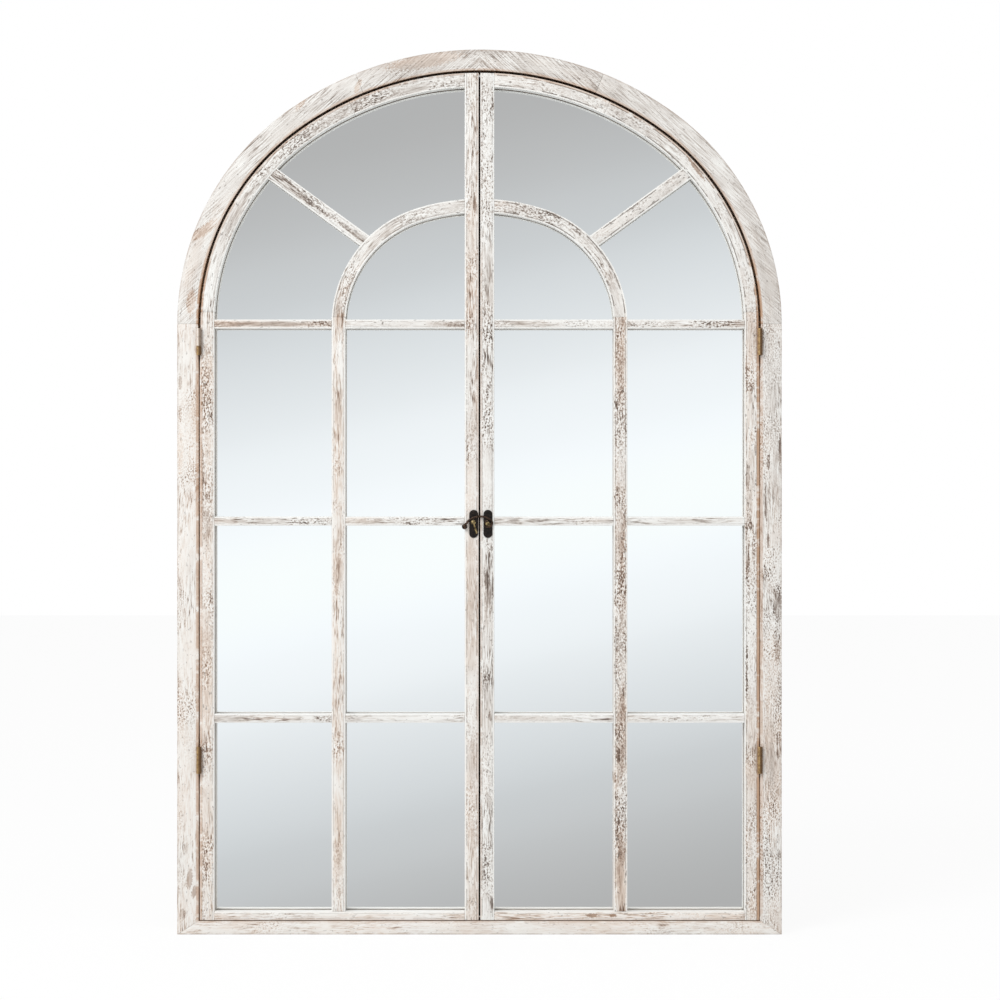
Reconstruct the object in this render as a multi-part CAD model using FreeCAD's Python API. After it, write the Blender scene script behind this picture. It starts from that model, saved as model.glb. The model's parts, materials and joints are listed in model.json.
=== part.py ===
import FreeCAD, Part
import math
import os

# Arched wall mirror: a wooden arch frame holds one mirror sheet, and two lattice doors
# close in front of it on small butt hinges. A hook latch joins the doors in the middle.
# Millimetres, +Z up, front towards -Y. The back plane is Y = 0, and the origin lies on it,
# halfway between the entry holes of the two keyhole hangers.

# Frame
frame_width = 610.0
spring_height = 616.0      # underside of the sill to the line where the arch starts
arch_rise_share = 0.908    # spring line to the top of the frame, of half the width
haunch_share = 0.864       # outer radius of the arch at its two haunches, of half the width
frame_depth = 30.0
frame_face = 21.0          # width of the posts and the arch seen from the front
sill_face = 13.6
crown_half_angle = 22.0    # degrees each side of the middle, seen from the crown's centre
rebate_width = 6.5

# Mirror sheet and back board
glass_thickness = 3.0
glass_edge_clearance = 0.6
board_thickness = 3.0
brad_radius = 0.7
brad_bite = 7.0            # length of a brad inside the wood
brad_show = 8.0            # length of a brad over the board
brad_clearance = 0.05
post_brad_shares = (0.2, 0.5, 0.8)       # heights, as shares of the spring height
sill_brad_shares = (-0.6, 0.0, 0.6)      # places, as shares of half the width
crown_brad_shares = (-0.6, 0.0, 0.6)     # angles, as shares of the crown's half angle
haunch_brad_angle = 38.0   # degrees above the spring line

# Doors
door_gap = 2.4             # between a door and the posts or the arch
sill_gap = 1.2
meeting_gap = 2.0          # between the two doors
door_recess = 0.5          # door front behind the frame front
door_thickness = 14.0
glass_air = 1.2            # door back to mirror
stile_face = 14.0          # stiles and the curved top rail
bottom_rail_face = 8.4
stile_joint_rise = 12.0    # the hinge stile ends this far above the spring line
rail_joint_angle = 25.0    # joint of the top rail, degrees from the middle

# Lattice bars of a door
bar_face = 14.0            # upright bar and inner arch
bar_reach_share = 0.4895   # middle of the mirror to the outer edge of the upright bar, of half the width
inner_rise_share = 0.8466  # spring line to the top of the inner arch, of the upright's reach
inner_haunch_share = 0.819
upright_joint_rise = 7.2   # the upright bar ends this far above the spring line
inner_joint_angle = 52.0   # joint of the inner arch, degrees above the spring line
spoke_face = 13.4
spoke_angle = 36.0         # degrees above the spring line
cross_bar_face = 9.2
cross_bar_share = 0.323    # from bar to bar, of the spring height; the first lies on the spring line
cross_bar_names = ("upper", "middle", "lower")

# Wood joints
tenon_length = 5.0
tenon_share = 0.5          # of the bar's face
tenon_depth_share = 0.34   # of the door's thickness
lap_share = 0.5            # of the door's thickness, at a cross bar and the upright
joint_clearance = 0.1
frame_dowel_radius = 2.5
frame_dowel_length = 28.0
door_dowel_radius = 1.8
door_dowel_length = 11.0
dowel_clearance = 0.05
corner_nail_radius = 1.0
corner_nail_length = 38.0
corner_nail_depth_shares = (0.25, 0.75)  # of the depth in front of the rebate

# Butt hinges
hinge_length = 27.0
upper_hinge_drop = 18.0    # middle of the upper hinge below the spring line
lower_hinge_share = 0.286  # middle of the lower hinge above the underside, of the spring height
barrel_radius = 2.5
pin_radius = 1.1
pin_clearance = 0.05
knuckle_gap = 0.3
knuckle_clearance = 0.35
middle_knuckle_share = 0.34
plate_thickness = 0.9
plate_width = 11.0
hinge_screw_spacing = 15.0

# Screws of the hinges and the latch
screw_radius = 1.1
screw_head_radius = 2.0
screw_length = 9.0
screw_clearance = 0.05
screw_slot_width = 0.6
screw_slot_depth = 0.4

# Hook latch
latch_drop = 2.7           # pivot below the middle of the middle cross bar
latch_plate_width = 9.1
latch_plate_length = 28.3
latch_plate_thickness = 1.2
base_place = 8.5           # middle of the mirror to the middle of the hook's plate
keeper_place = 5.8
pivot_radius = 1.5
rivet_head_radius = 2.4
rivet_head_height = 1.1
eye_radius = 4.3
hook_play = 0.3           # hook above its plate and below the rivet head
arm_wire_radius = 1.15
arm_radius = 17.05
arm_lean = 50.3            # degrees below level, from the pivot to the centre of the arm's curve
arm_eye_step = 0.4         # middle of the wire past the eye's rim
arm_eye_angle = 42.0
arm_ball_angle = 157.0
ball_radius = 2.7
ball_clearance = 0.5
peg_head_radius = 2.5
peg_head_place = 6.4       # middle of the mirror to the peg's head
peg_rest_gap = 0.3         # arm above the peg's head
peg_wall_height = 1.4
peg_dome_height = 0.7
peg_stem_radius = 1.0
peg_foot_run = 3.6         # foot of the peg's stem, from the head
peg_foot_drop = 10.3
peg_sink = 0.2

# Felt behind the doors: pads on the right one, a strip that closes the meeting gap on the left one
pad_radius = 4.0
pad_clearance = 0.2        # felt to mirror
pad_end_margin = 14.0      # pad centre from the bottom rail's top or the top rail
strip_width = 8.0          # of the strip on the left stile
strip_end_margin = 2.0
strip_lip_step = 0.4       # the strip's lip lies this far behind the doors
strip_edge_clearance = 0.1 # lip to the plane of the right door's edge

# Keyhole hangers
hanger_drop = 56.0         # entry hole below the spring line
hanger_margin = 1.25       # bare wood each side of a hanger
hanger_length = 40.0
hanger_thickness = 1.5
entry_radius = 3.75
keyhole_slot_radius = 1.9
keyhole_slot_travel = 9.0
pocket_clearance = 0.5     # pocket past the entry hole, each side
pocket_depth = 8.0
pocket_margin = 1.2
overrun = 1.0              # how far a cut runs past the face it starts from

# Places worked out from the sizes above
vector = FreeCAD.Vector
half_width = frame_width / 2
arch_rise = half_width * arch_rise_share
bar_reach = half_width * bar_reach_share
cross_bar_pitch = spring_height * cross_bar_share
hinge_heights = {"upper": spring_height - upper_hinge_drop, "lower": spring_height * lower_hinge_share}
hanger_height = spring_height - hanger_drop
hanger_width = frame_face - rebate_width - hanger_margin * 2
hanger_screw_spacing = hanger_length - hanger_width
pocket_width = (entry_radius + pocket_clearance) * 2
latch_screw_spacing = latch_plate_length - latch_plate_width
arm_centre_reach = arm_radius - eye_radius - arm_eye_step
arm_centre_run = arm_centre_reach * math.cos(math.radians(arm_lean))
arm_centre_drop = arm_centre_reach * math.sin(math.radians(arm_lean))
foot = -hanger_height
spring = spring_height + foot
front = -frame_depth
door_front = front + door_recess
door_back = door_front + door_thickness
shoulder = door_back + glass_air
glass_back = shoulder + glass_thickness
board_back = glass_back + board_thickness
door_inset = frame_face + door_gap
door_edge = half_width - door_inset
door_foot = foot + sill_face + sill_gap
rail_top = door_foot + bottom_rail_face
meeting_edge = meeting_gap / 2
meeting_back = meeting_edge + stile_face
wall_middle = (frame_face - rebate_width) / 2
barrel_stand = math.sqrt((barrel_radius + knuckle_clearance) ** 2 - (door_gap / 2) ** 2)
hinge_x = half_width - frame_face - door_gap / 2
hinge_y = front - barrel_stand
latch_z = spring - cross_bar_pitch - latch_drop
sideways = vector(1, 0, 0)
nodes = {}


class Arch:
    """A three-centred arch on the spring line: two haunch arcs and a flatter crown arc."""

    def __init__(self, reach, radius, rise):
        self.reach = reach
        self.radius = radius
        self.rise = rise
        self.side = reach - radius
        self.crown = (self.side ** 2 + rise ** 2 - radius ** 2) / (2 * (rise - radius))
        self.drop = self.crown - rise
        self.turn = math.atan2(self.drop, self.side)

    def point(self, inset, angle):
        """Point on the right half of the outline, by the angle of its normal above level."""
        on_haunch = angle < self.turn
        radius = (self.radius if on_haunch else self.crown) - inset
        x = (self.side if on_haunch else 0) + radius * math.cos(angle)
        z = spring + (0 if on_haunch else -self.drop) + radius * math.sin(angle)
        return vector(x, 0, z)

    def ray(self, inset, angle):
        """Distance from the spring line's middle to the outline, along an angle above level."""
        radius = self.radius - inset
        reach = self.side * math.cos(angle)
        reach += math.sqrt(radius ** 2 - (self.side * math.sin(angle)) ** 2)
        run = reach * math.cos(angle) - self.side
        if math.atan2(reach * math.sin(angle), run) < self.turn:
            return reach
        crown = self.crown - inset
        return math.sqrt(crown ** 2 - (self.drop * math.cos(angle)) ** 2) - self.drop * math.sin(angle)

    def height(self, inset, x):
        """Height of the crown arc over a place near the middle."""
        return spring - self.drop + math.sqrt((self.crown - inset) ** 2 - x ** 2)

    def sheet(self, inset, bottom, near, far):
        """Solid of the whole arched outline, from near to far along Y."""
        def across(point):
            return vector(-point.x, 0, point.z)
        start = self.point(inset, 0)
        haunch = self.point(inset, self.turn / 2)
        turn = self.point(inset, self.turn)
        top = self.point(inset, math.pi / 2)
        foot_right = vector(start.x, 0, bottom)
        edges = [
            Part.LineSegment(across(foot_right), foot_right),
            Part.LineSegment(foot_right, start),
            Part.Arc(start, haunch, turn),
            Part.Arc(turn, top, across(turn)),
            Part.Arc(across(turn), across(haunch), across(start)),
            Part.LineSegment(across(start), across(foot_right)),
        ]
        return prism(Part.Wire([edge.toShape() for edge in edges]), near, far)


def prism(wire, near, far):
    """Solid of a closed outline in the XZ plane, from near to far along Y."""
    face = Part.Face(wire)
    face.translate(vector(0, near, 0))
    return face.extrude(vector(0, far - near, 0))


def polygon(points):
    """Closed outline in the XZ plane through (x, z) points."""
    corners = [vector(x, 0, z) for x, z in points]
    return Part.makePolygon(corners + corners[:1])


def box(x0, x1, y0, y1, z0, z1):
    """Box between two corners, given in any order."""
    low = vector(min(x0, x1), min(y0, y1), min(z0, z1))
    return Part.makeBox(abs(x1 - x0), abs(y1 - y0), abs(z1 - z0), low)


def rod(radius, middle, direction, length):
    """Round rod by its middle, direction and length."""
    way = vector(direction).normalize()
    return Part.makeCylinder(radius, length, middle - way * (length / 2), way)


def stadium(width, length, x, z, near, far):
    """Upright plate with round ends."""
    radius = width / 2
    straight = (length - width) / 2
    wire = Part.Wire([
        Part.LineSegment(vector(x + radius, 0, z - straight), vector(x + radius, 0, z + straight)).toShape(),
        Part.Arc(vector(x + radius, 0, z + straight), vector(x, 0, z + straight + radius),
                 vector(x - radius, 0, z + straight)).toShape(),
        Part.LineSegment(vector(x - radius, 0, z + straight), vector(x - radius, 0, z - straight)).toShape(),
        Part.Arc(vector(x - radius, 0, z - straight), vector(x, 0, z - straight - radius),
                 vector(x + radius, 0, z - straight)).toShape(),
    ])
    return prism(wire, near, far)


def mirrored(shape):
    """The same shape on the other side of the middle."""
    return shape.mirror(vector(0, 0, 0), sideways)


def cut_all(shape, tools):
    """The shape less each tool in turn."""
    for tool in tools:
        shape = shape.cut(tool)
    return shape


def keep(name, shapes):
    """Record the solids of one node."""
    solids = [solid for shape in shapes for solid in shape.Solids]
    nodes[name] = solids[0] if len(solids) == 1 else Part.makeCompound(solids)


frame_arch = Arch(half_width, half_width * haunch_share, arch_rise)
inner_arch = Arch(bar_reach, bar_reach * inner_haunch_share, bar_reach * inner_rise_share)


def countersunk(head, direction, plate, slack=0.0):
    """Countersunk screw, or with slack the hole it needs: head is the middle of its flat top."""
    way = vector(direction).normalize()
    top = Part.makeCone(screw_head_radius + slack, screw_radius + slack, plate, head, way)
    shank = Part.makeCylinder(screw_radius + slack, screw_length + slack, head, way)
    return top.fuse(shank).removeSplitter()


def slotted(head, direction, plate):
    """Countersunk screw along Y, with its driver slot along Z."""
    wide = screw_slot_width / 2
    slot = box(head.x - wide, head.x + wide,
               head.y - direction.y * overrun, head.y + direction.y * screw_slot_depth,
               head.z - screw_head_radius, head.z + screw_head_radius)
    return countersunk(head, direction, plate).cut(slot)


def crown_wedge(arch, half_angle, bottom):
    """Wedge about the middle, from an arch's crown centre outwards."""
    tall = arch.crown + overrun
    wide = tall * math.tan(math.radians(half_angle))
    centre = spring - arch.drop
    wedge = prism(polygon([(0, centre), (wide, centre + tall), (-wide, centre + tall)]),
                  front - overrun, overrun)
    return wedge.cut(box(-frame_width, frame_width, front - overrun, overrun, centre - overrun, bottom))


def frame_dowel_places():
    """Middle and direction of each dowel of the frame."""
    depth = (front + shoulder) / 2
    angle = math.radians(crown_half_angle)
    radius = frame_arch.crown - wall_middle
    for side in (-1, 1):
        yield vector(side * (half_width - wall_middle), depth, spring), vector(0, 0, 1)
        height = spring - frame_arch.drop + radius * math.cos(angle)
        way = vector(side * math.cos(angle), 0, -math.sin(angle))
        yield vector(side * radius * math.sin(angle), depth, height), way


def corner_nail_places():
    """Head and direction of each nail through a mitred bottom corner."""
    for side in (-1, 1):
        for share in corner_nail_depth_shares:
            y = front + (shoulder - front) * share
            yield vector(side * half_width, y, foot + sill_face / 2), vector(-side, 0, 0)


def brad_places():
    """Point on the rebate wall and inward direction of each brad over the back board."""
    y = board_back + brad_radius + brad_clearance
    wall = half_width - frame_face + rebate_width
    inset = frame_face - rebate_width
    for side in (-1, 1):
        for share in post_brad_shares:
            yield vector(side * wall, y, foot + spring_height * share), vector(-side, 0, 0)
        angle = math.radians(haunch_brad_angle)
        point = frame_arch.point(inset, angle)
        yield vector(side * point.x, y, point.z), vector(-side * math.cos(angle), 0, -math.sin(angle))
    for share in sill_brad_shares:
        yield vector(half_width * share, y, foot + sill_face - rebate_width), vector(0, 0, 1)
    for share in crown_brad_shares:
        angle = math.radians(crown_half_angle * share)
        point = frame_arch.point(inset, math.pi / 2 - angle)
        yield vector(point.x, y, point.z), vector(-math.sin(angle), 0, -math.cos(angle))


def hinge_screw_places(height, x, way):
    """Head and direction of the two screws of one hinge plate."""
    y = front + plate_width / 2
    for step in (-1, 1):
        yield vector(x, y, height + foot + step * hinge_screw_spacing / 2), vector(way, 0, 0)


def jamb_plate_face(side):
    """Open face of a hinge plate on a post."""
    return side * (half_width - frame_face - plate_thickness)


def door_plate_face(side):
    """Open face of a hinge plate on a door's edge."""
    return side * (door_edge + plate_thickness)


def hanger_place(side):
    """Place of a keyhole hanger along X."""
    return side * (half_width - wall_middle)


def hanger_middle():
    """Height of a hanger plate's middle: its entry hole is at the origin's height."""
    return keyhole_slot_travel / 2


def hanger_screw_places(side):
    """Head and direction of a hanger's two screws."""
    for step in (-1, 1):
        z = hanger_middle() + step * hanger_screw_spacing / 2
        yield vector(hanger_place(side), 0, z), vector(0, -1, 0)


def hanger_cuts(side):
    """Shallow recess for a hanger plate, and the pocket for a wall screw's head."""
    x = hanger_place(side)
    plate = stadium(hanger_width + joint_clearance, hanger_length + joint_clearance, x, hanger_middle(),
                    -hanger_thickness, overrun)
    pocket = box(x - pocket_width / 2, x + pocket_width / 2, -hanger_thickness - pocket_depth, overrun,
                 -entry_radius - pocket_margin, keyhole_slot_travel + keyhole_slot_radius + pocket_margin)
    screws = [countersunk(head, way, hanger_thickness, screw_clearance)
              for head, way in hanger_screw_places(side)]
    return [plate, pocket] + screws


def frame_ring():
    """The whole frame before it is sawn into members: opening in front, rebate behind."""
    ring = frame_arch.sheet(0, foot, front, 0)
    ring = ring.cut(frame_arch.sheet(frame_face, foot + sill_face, front - overrun, overrun))
    inset = frame_face - rebate_width
    ring = ring.cut(frame_arch.sheet(inset, foot + sill_face - rebate_width, shoulder, overrun))
    dowels = [rod(frame_dowel_radius + dowel_clearance, middle, way, frame_dowel_length + dowel_clearance)
              for middle, way in frame_dowel_places()]
    nails = [Part.makeCylinder(corner_nail_radius + dowel_clearance,
                               corner_nail_length + dowel_clearance, head, way)
             for head, way in corner_nail_places()]
    brads = [rod(brad_radius + brad_clearance, place, way, (brad_bite + dowel_clearance) * 2)
             for place, way in brad_places()]
    screws = []
    for side in (-1, 1):
        for height in hinge_heights.values():
            for head, way in hinge_screw_places(height, jamb_plate_face(side), side):
                screws.append(countersunk(head, way, plate_thickness, screw_clearance))
    cuts = dowels + nails + brads + screws + hanger_cuts(-1) + hanger_cuts(1)
    return cut_all(ring, cuts)


def make_frame():
    """Posts, sill, haunches and crown, with the dowels and nails that join them."""
    ring = frame_ring()
    near = front - overrun
    sill = prism(polygon([
        (-half_width, foot), (half_width, foot),
        (half_width - frame_face, foot + sill_face), (-half_width + frame_face, foot + sill_face),
    ]), near, overrun)
    keep("sill", [ring.common(sill)])
    below = box(0, half_width + overrun, near, overrun, foot - overrun, spring)
    above = box(0, half_width + overrun, near, overrun, spring, spring + arch_rise + overrun)
    wedge = crown_wedge(frame_arch, crown_half_angle, spring)
    keep("crown", [ring.common(wedge)])
    rest = ring.cut(sill).cut(wedge)
    keep("right_post", [rest.common(below)])
    keep("left_post", [rest.common(mirrored(below))])
    keep("right_haunch", [rest.common(above)])
    keep("left_haunch", [rest.common(mirrored(above))])
    keep("frame_dowels", [rod(frame_dowel_radius, middle, way, frame_dowel_length)
                          for middle, way in frame_dowel_places()])
    keep("corner_nails", [Part.makeCylinder(corner_nail_radius, corner_nail_length, head, way)
                          for head, way in corner_nail_places()])


def make_mirror():
    """Mirror sheet, back board and the brads that hold them in the rebate."""
    inset = frame_face - rebate_width + glass_edge_clearance
    bottom = foot + sill_face - rebate_width + glass_edge_clearance
    keep("mirror_glass", [frame_arch.sheet(inset, bottom, shoulder, glass_back)])
    keep("back_board", [frame_arch.sheet(inset, bottom, glass_back, board_back)])
    brads = []
    for place, way in brad_places():
        brads.append(Part.makeCylinder(brad_radius, brad_bite + brad_show, place - way * brad_bite, way))
    keep("board_brads", brads)


def make_hangers():
    """Keyhole hangers let into the backs of the posts."""
    screws = []
    for side, name in ((-1, "left"), (1, "right")):
        x = hanger_place(side)
        plate = stadium(hanger_width, hanger_length, x, hanger_middle(), -hanger_thickness, 0)
        through = hanger_thickness + overrun * 2
        depth = vector(0, 1, 0)
        entry = rod(entry_radius, vector(x, -hanger_thickness / 2, 0), depth, through)
        slot = box(x - keyhole_slot_radius, x + keyhole_slot_radius, -through, through,
                   0, keyhole_slot_travel)
        end = rod(keyhole_slot_radius, vector(x, -hanger_thickness / 2, keyhole_slot_travel),
                  depth, through)
        holes = [countersunk(head, way, hanger_thickness, screw_clearance)
                 for head, way in hanger_screw_places(side)]
        keep(name + "_hanger", [cut_all(plate, [entry, slot, end] + holes)])
        screws += [slotted(head, way, hanger_thickness) for head, way in hanger_screw_places(side)]
    keep("hanger_screws", screws)


def hinge_plate(side, height, on_door):
    """One half of a butt hinge: flat plate in the door gap, with its knuckles round the pin."""
    middle = height + foot
    x = side * hinge_x
    face = door_plate_face(side) if on_door else jamb_plate_face(side)
    seat = side * door_edge if on_door else side * (half_width - frame_face)
    centre_half = hinge_length * middle_knuckle_share / 2
    low = middle - hinge_length / 2
    high = middle + hinge_length / 2
    spans = [(middle - centre_half, middle + centre_half)] if on_door else [
        (low, middle - centre_half - knuckle_gap), (middle + centre_half + knuckle_gap, high)]
    plate = box(seat, face, hinge_y + barrel_radius + knuckle_clearance, front + plate_width, low, high)
    for start, stop in spans:
        plate = plate.fuse(box(seat, face, hinge_y, front + plate_width, start, stop))
        plate = plate.fuse(Part.makeCylinder(barrel_radius, stop - start, vector(x, hinge_y, start)))
    plate = plate.removeSplitter()
    bore = Part.makeCylinder(pin_radius + pin_clearance, hinge_length + overrun * 2,
                             vector(x, hinge_y, low - overrun))
    way = -side if on_door else side
    holes = [countersunk(head, direction, plate_thickness, screw_clearance)
             for head, direction in hinge_screw_places(height, face, way)]
    return cut_all(plate, [bore] + holes)


def make_hinges():
    """Two butt hinges a door: jamb and door plates, pins and screws."""
    pins = []
    jamb_screws = []
    for side, name in ((-1, "left"), (1, "right")):
        door_screws = []
        for level, height in hinge_heights.items():
            keep(f"{name}_{level}_jamb_plate", [hinge_plate(side, height, False)])
            keep(f"{name}_{level}_door_plate", [hinge_plate(side, height, True)])
            low = vector(side * hinge_x, hinge_y, height + foot - hinge_length / 2)
            pins.append(Part.makeCylinder(pin_radius, hinge_length, low))
            for head, way in hinge_screw_places(height, jamb_plate_face(side), side):
                jamb_screws.append(countersunk(head, way, plate_thickness))
            for head, way in hinge_screw_places(height, door_plate_face(side), -side):
                door_screws.append(countersunk(head, way, plate_thickness))
        keep(f"{name}_door_hinge_screws", door_screws)
    keep("hinge_pins", pins)
    keep("jamb_hinge_screws", jamb_screws)


def tenon(x0, x1, z0, z1, slack=0.0):
    """Tenon in the middle of the door's thickness, or with slack its mortise."""
    depth = door_thickness * tenon_depth_share / 2 + slack
    middle = (door_front + door_back) / 2
    return box(x0, x1, middle - depth, middle + depth, z0, z1)


def level_tenons(z, face, slack=0.0):
    """Tenons of a level bar into the hinge stile and the meeting stile of the right door."""
    half = face * tenon_share / 2 + slack
    deep = tenon_length + slack
    outer = door_edge - stile_face
    return [tenon(outer, outer + deep, z - half, z + half, slack),
            tenon(meeting_back, meeting_back - deep, z - half, z + half, slack)]


def upright_tenons(slack=0.0):
    """Tenons at the foot and the head of the upright bar."""
    middle = bar_reach - bar_face / 2
    half = bar_face * tenon_share / 2 + slack
    deep = tenon_length + slack
    head = spring + upright_joint_rise
    return [tenon(middle - half, middle + half, rail_top, rail_top - deep, slack),
            tenon(middle - half, middle + half, head, head + deep, slack)]


def stile_tenon(slack=0.0):
    """Tenon at the head of the hinge stile, into the top rail."""
    middle = door_edge - stile_face / 2
    half = stile_face * tenon_share / 2 + slack
    head = spring + stile_joint_rise
    return tenon(middle - half, middle + half, head, head + tenon_length + slack, slack)


def arch_tenon(arch, inset, face, slack=0.0):
    """Tenon of a curved bar into the side of the meeting stile."""
    z = arch.height(inset + face / 2, meeting_back)
    half = face * tenon_share / 2 + slack
    return tenon(meeting_back, meeting_back - tenon_length - slack, z - half, z + half, slack)


def cross_bar_heights():
    """Middle of each cross bar, from the top."""
    return [spring - cross_bar_pitch * step for step in range(len(cross_bar_names))]


def door_dowel_places():
    """Middle and direction of each dowel of the right door."""
    y = (door_front + door_back) / 2
    angle = math.radians(rail_joint_angle)
    radius = frame_arch.crown - door_inset - stile_face / 2
    yield (vector(radius * math.sin(angle), y, spring - frame_arch.drop + radius * math.cos(angle)),
           vector(math.cos(angle), 0, -math.sin(angle)))
    angle = math.radians(inner_joint_angle)
    reach = inner_arch.ray(bar_face / 2, angle)
    yield (vector(reach * math.cos(angle), y, spring + reach * math.sin(angle)),
           vector(math.sin(angle), 0, -math.cos(angle)))
    angle = math.radians(spoke_angle)
    way = vector(math.cos(angle), 0, math.sin(angle))
    for reach in (frame_arch.ray(door_inset + stile_face, angle), inner_arch.ray(0, angle)):
        yield vector(reach * way.x, y, spring + reach * way.z), way


def door_ring():
    """Right half of a curved ring: the hinge stile and the top rail in one."""
    near, far = door_front, door_back
    ring = frame_arch.sheet(door_inset, door_foot, near, far)
    field = frame_arch.sheet(door_inset + stile_face, door_foot - overrun, near - overrun, far + overrun)
    half = box(meeting_back, half_width, near, far, door_foot, spring + arch_rise)
    return ring.cut(field).common(half)


def inner_ring():
    """Right half of the inner arch, above the upright bar."""
    bottom = spring + upright_joint_rise
    ring = inner_arch.sheet(0, spring - overrun, door_front, door_back)
    field = inner_arch.sheet(bar_face, spring - overrun * 2, door_front - overrun, door_back + overrun)
    half = box(meeting_back, half_width, door_front, door_back, bottom, spring + arch_rise)
    return ring.cut(field).common(half)


def ray_half(angle):
    """Everything on the upright's side of a ray from the spring line's middle."""
    far = frame_width
    turn = math.radians(angle)
    return prism(polygon([(0, spring), (0, spring - far), (far * 2, spring - far),
                          (far * math.cos(turn), spring + far * math.sin(turn))]),
                 front - overrun, overrun)


def right_door_members():
    """Wooden members of the right door, by name, before the latch's screw holes."""
    near, far = door_front, door_back
    holes = [rod(door_dowel_radius + dowel_clearance, middle, way, door_dowel_length + dowel_clearance)
             for middle, way in door_dowel_places()]
    stile_head = spring + stile_joint_rise
    ring = door_ring()
    wide = half_width + overrun
    lower = box(0, wide, near - overrun, far + overrun, door_foot - overrun, stile_head)
    wedge = crown_wedge(frame_arch, rail_joint_angle, stile_head)
    rail = ring.cut(lower)
    inner = inner_ring()
    inner_lower = ray_half(inner_joint_angle)
    heights = cross_bar_heights()

    bar_mortises = [shape for z in heights for shape in level_tenons(z, cross_bar_face, joint_clearance)]
    rail_middle = door_foot + bottom_rail_face / 2
    rail_mortises = level_tenons(rail_middle, bottom_rail_face, joint_clearance)
    arch_mortises = [arch_tenon(frame_arch, door_inset, stile_face, joint_clearance),
                     arch_tenon(inner_arch, 0, bar_face, joint_clearance)]
    plate_holes = []
    for height in hinge_heights.values():
        for head, way in hinge_screw_places(height, door_plate_face(1), -1):
            plate_holes.append(countersunk(head, way, plate_thickness, screw_clearance))

    members = {}
    stile = cut_all(ring.common(lower), bar_mortises + rail_mortises + plate_holes)
    members["hinge_stile"] = stile.fuse(stile_tenon()).removeSplitter()
    members["top_haunch"] = cut_all(rail.cut(wedge), holes + [stile_tenon(joint_clearance)])
    crown = cut_all(rail.common(wedge), holes)
    members["top_crown"] = crown.fuse(arch_tenon(frame_arch, door_inset, stile_face)).removeSplitter()
    meeting = frame_arch.sheet(door_inset, door_foot, near, far)
    meeting = meeting.common(box(meeting_edge, meeting_back, near, far, door_foot, spring + arch_rise))
    members["meeting_stile"] = cut_all(meeting, bar_mortises + rail_mortises + arch_mortises)

    outer = door_edge - stile_face
    bottom = box(meeting_back, outer, near, far, door_foot, rail_top)
    for shape in level_tenons(rail_middle, bottom_rail_face):
        bottom = bottom.fuse(shape)
    foot_mortise, head_mortise = upright_tenons(joint_clearance)
    members["bottom_rail"] = bottom.removeSplitter().cut(foot_mortise)

    lap = near + door_thickness * lap_share
    field = frame_arch.sheet(door_inset + stile_face, door_foot, near, far)
    upright = box(bar_reach - bar_face, bar_reach, near, far, rail_top, spring + upright_joint_rise)
    for shape in upright_tenons():
        upright = upright.fuse(shape)
    upright = upright.removeSplitter()
    for name, z in zip(cross_bar_names, heights):
        half = cross_bar_face / 2
        bar = box(meeting_back, outer, near, far, z - half, z + half).common(field)
        for shape in level_tenons(z, cross_bar_face):
            bar = bar.fuse(shape)
        bar = bar.removeSplitter()
        notch = box(bar_reach - bar_face, bar_reach, near - overrun, lap, z - half, z + half)
        members[name + "_cross_bar"] = bar.cut(notch)
        upright = upright.cut(box(bar_reach - bar_face, bar_reach, lap, far + overrun, z - half, z + half))
    members["upright_bar"] = upright

    members["inner_haunch"] = cut_all(inner.common(inner_lower), holes + [head_mortise])
    crown = cut_all(inner.cut(inner_lower), holes)
    members["inner_crown"] = crown.fuse(arch_tenon(inner_arch, 0, bar_face)).removeSplitter()
    members["spoke"] = cut_all(make_spoke(), holes)
    return members


def make_spoke():
    """Straight bar from the inner arch to the top rail, cut to both curves."""
    half = spoke_face / 2
    bar = box(0, half_width, door_front, door_back, spring - half, spring + half)
    bar.rotate(vector(0, 0, spring), vector(0, -1, 0), spoke_angle)
    near, far = door_front - overrun, door_back + overrun
    bar = bar.cut(inner_arch.sheet(0, spring - overrun, near, far))
    field = frame_arch.sheet(door_inset + stile_face, spring - overrun, near, far)
    return bar.common(field)


def latch_screw_places(x):
    """Head and direction of the two screws of a latch plate."""
    y = door_front - latch_plate_thickness
    for step in (-1, 1):
        yield vector(x, y, latch_z + step * latch_screw_spacing / 2), vector(0, 1, 0)


def latch_plate(x):
    """Stadium plate on a meeting stile, with its screw holes."""
    plate = stadium(latch_plate_width, latch_plate_length, x, latch_z,
                    door_front - latch_plate_thickness, door_front)
    holes = [countersunk(head, way, latch_plate_thickness, screw_clearance)
             for head, way in latch_screw_places(x)]
    return cut_all(plate, holes)


def make_doors():
    """Both doors: the left one mirrors the right one, apart from the latch."""
    members = right_door_members()
    dowels = [rod(door_dowel_radius, middle, way, door_dowel_length) for middle, way in door_dowel_places()]
    for side, name, place in ((-1, "left", -keeper_place), (1, "right", base_place)):
        def sided(shape):
            return mirrored(shape) if side < 0 else shape
        for member, shape in members.items():
            shape = sided(shape)
            if member == "meeting_stile":
                holes = [countersunk(head, way, latch_plate_thickness, screw_clearance)
                         for head, way in latch_screw_places(place)]
                shape = cut_all(shape, holes)
            keep(f"{name}_{member}", [shape])
        keep(f"{name}_door_dowels", [sided(shape) for shape in dowels])
        keep(f"{name}_latch_screws", [slotted(head, way, latch_plate_thickness)
                                      for head, way in latch_screw_places(place)])


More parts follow.
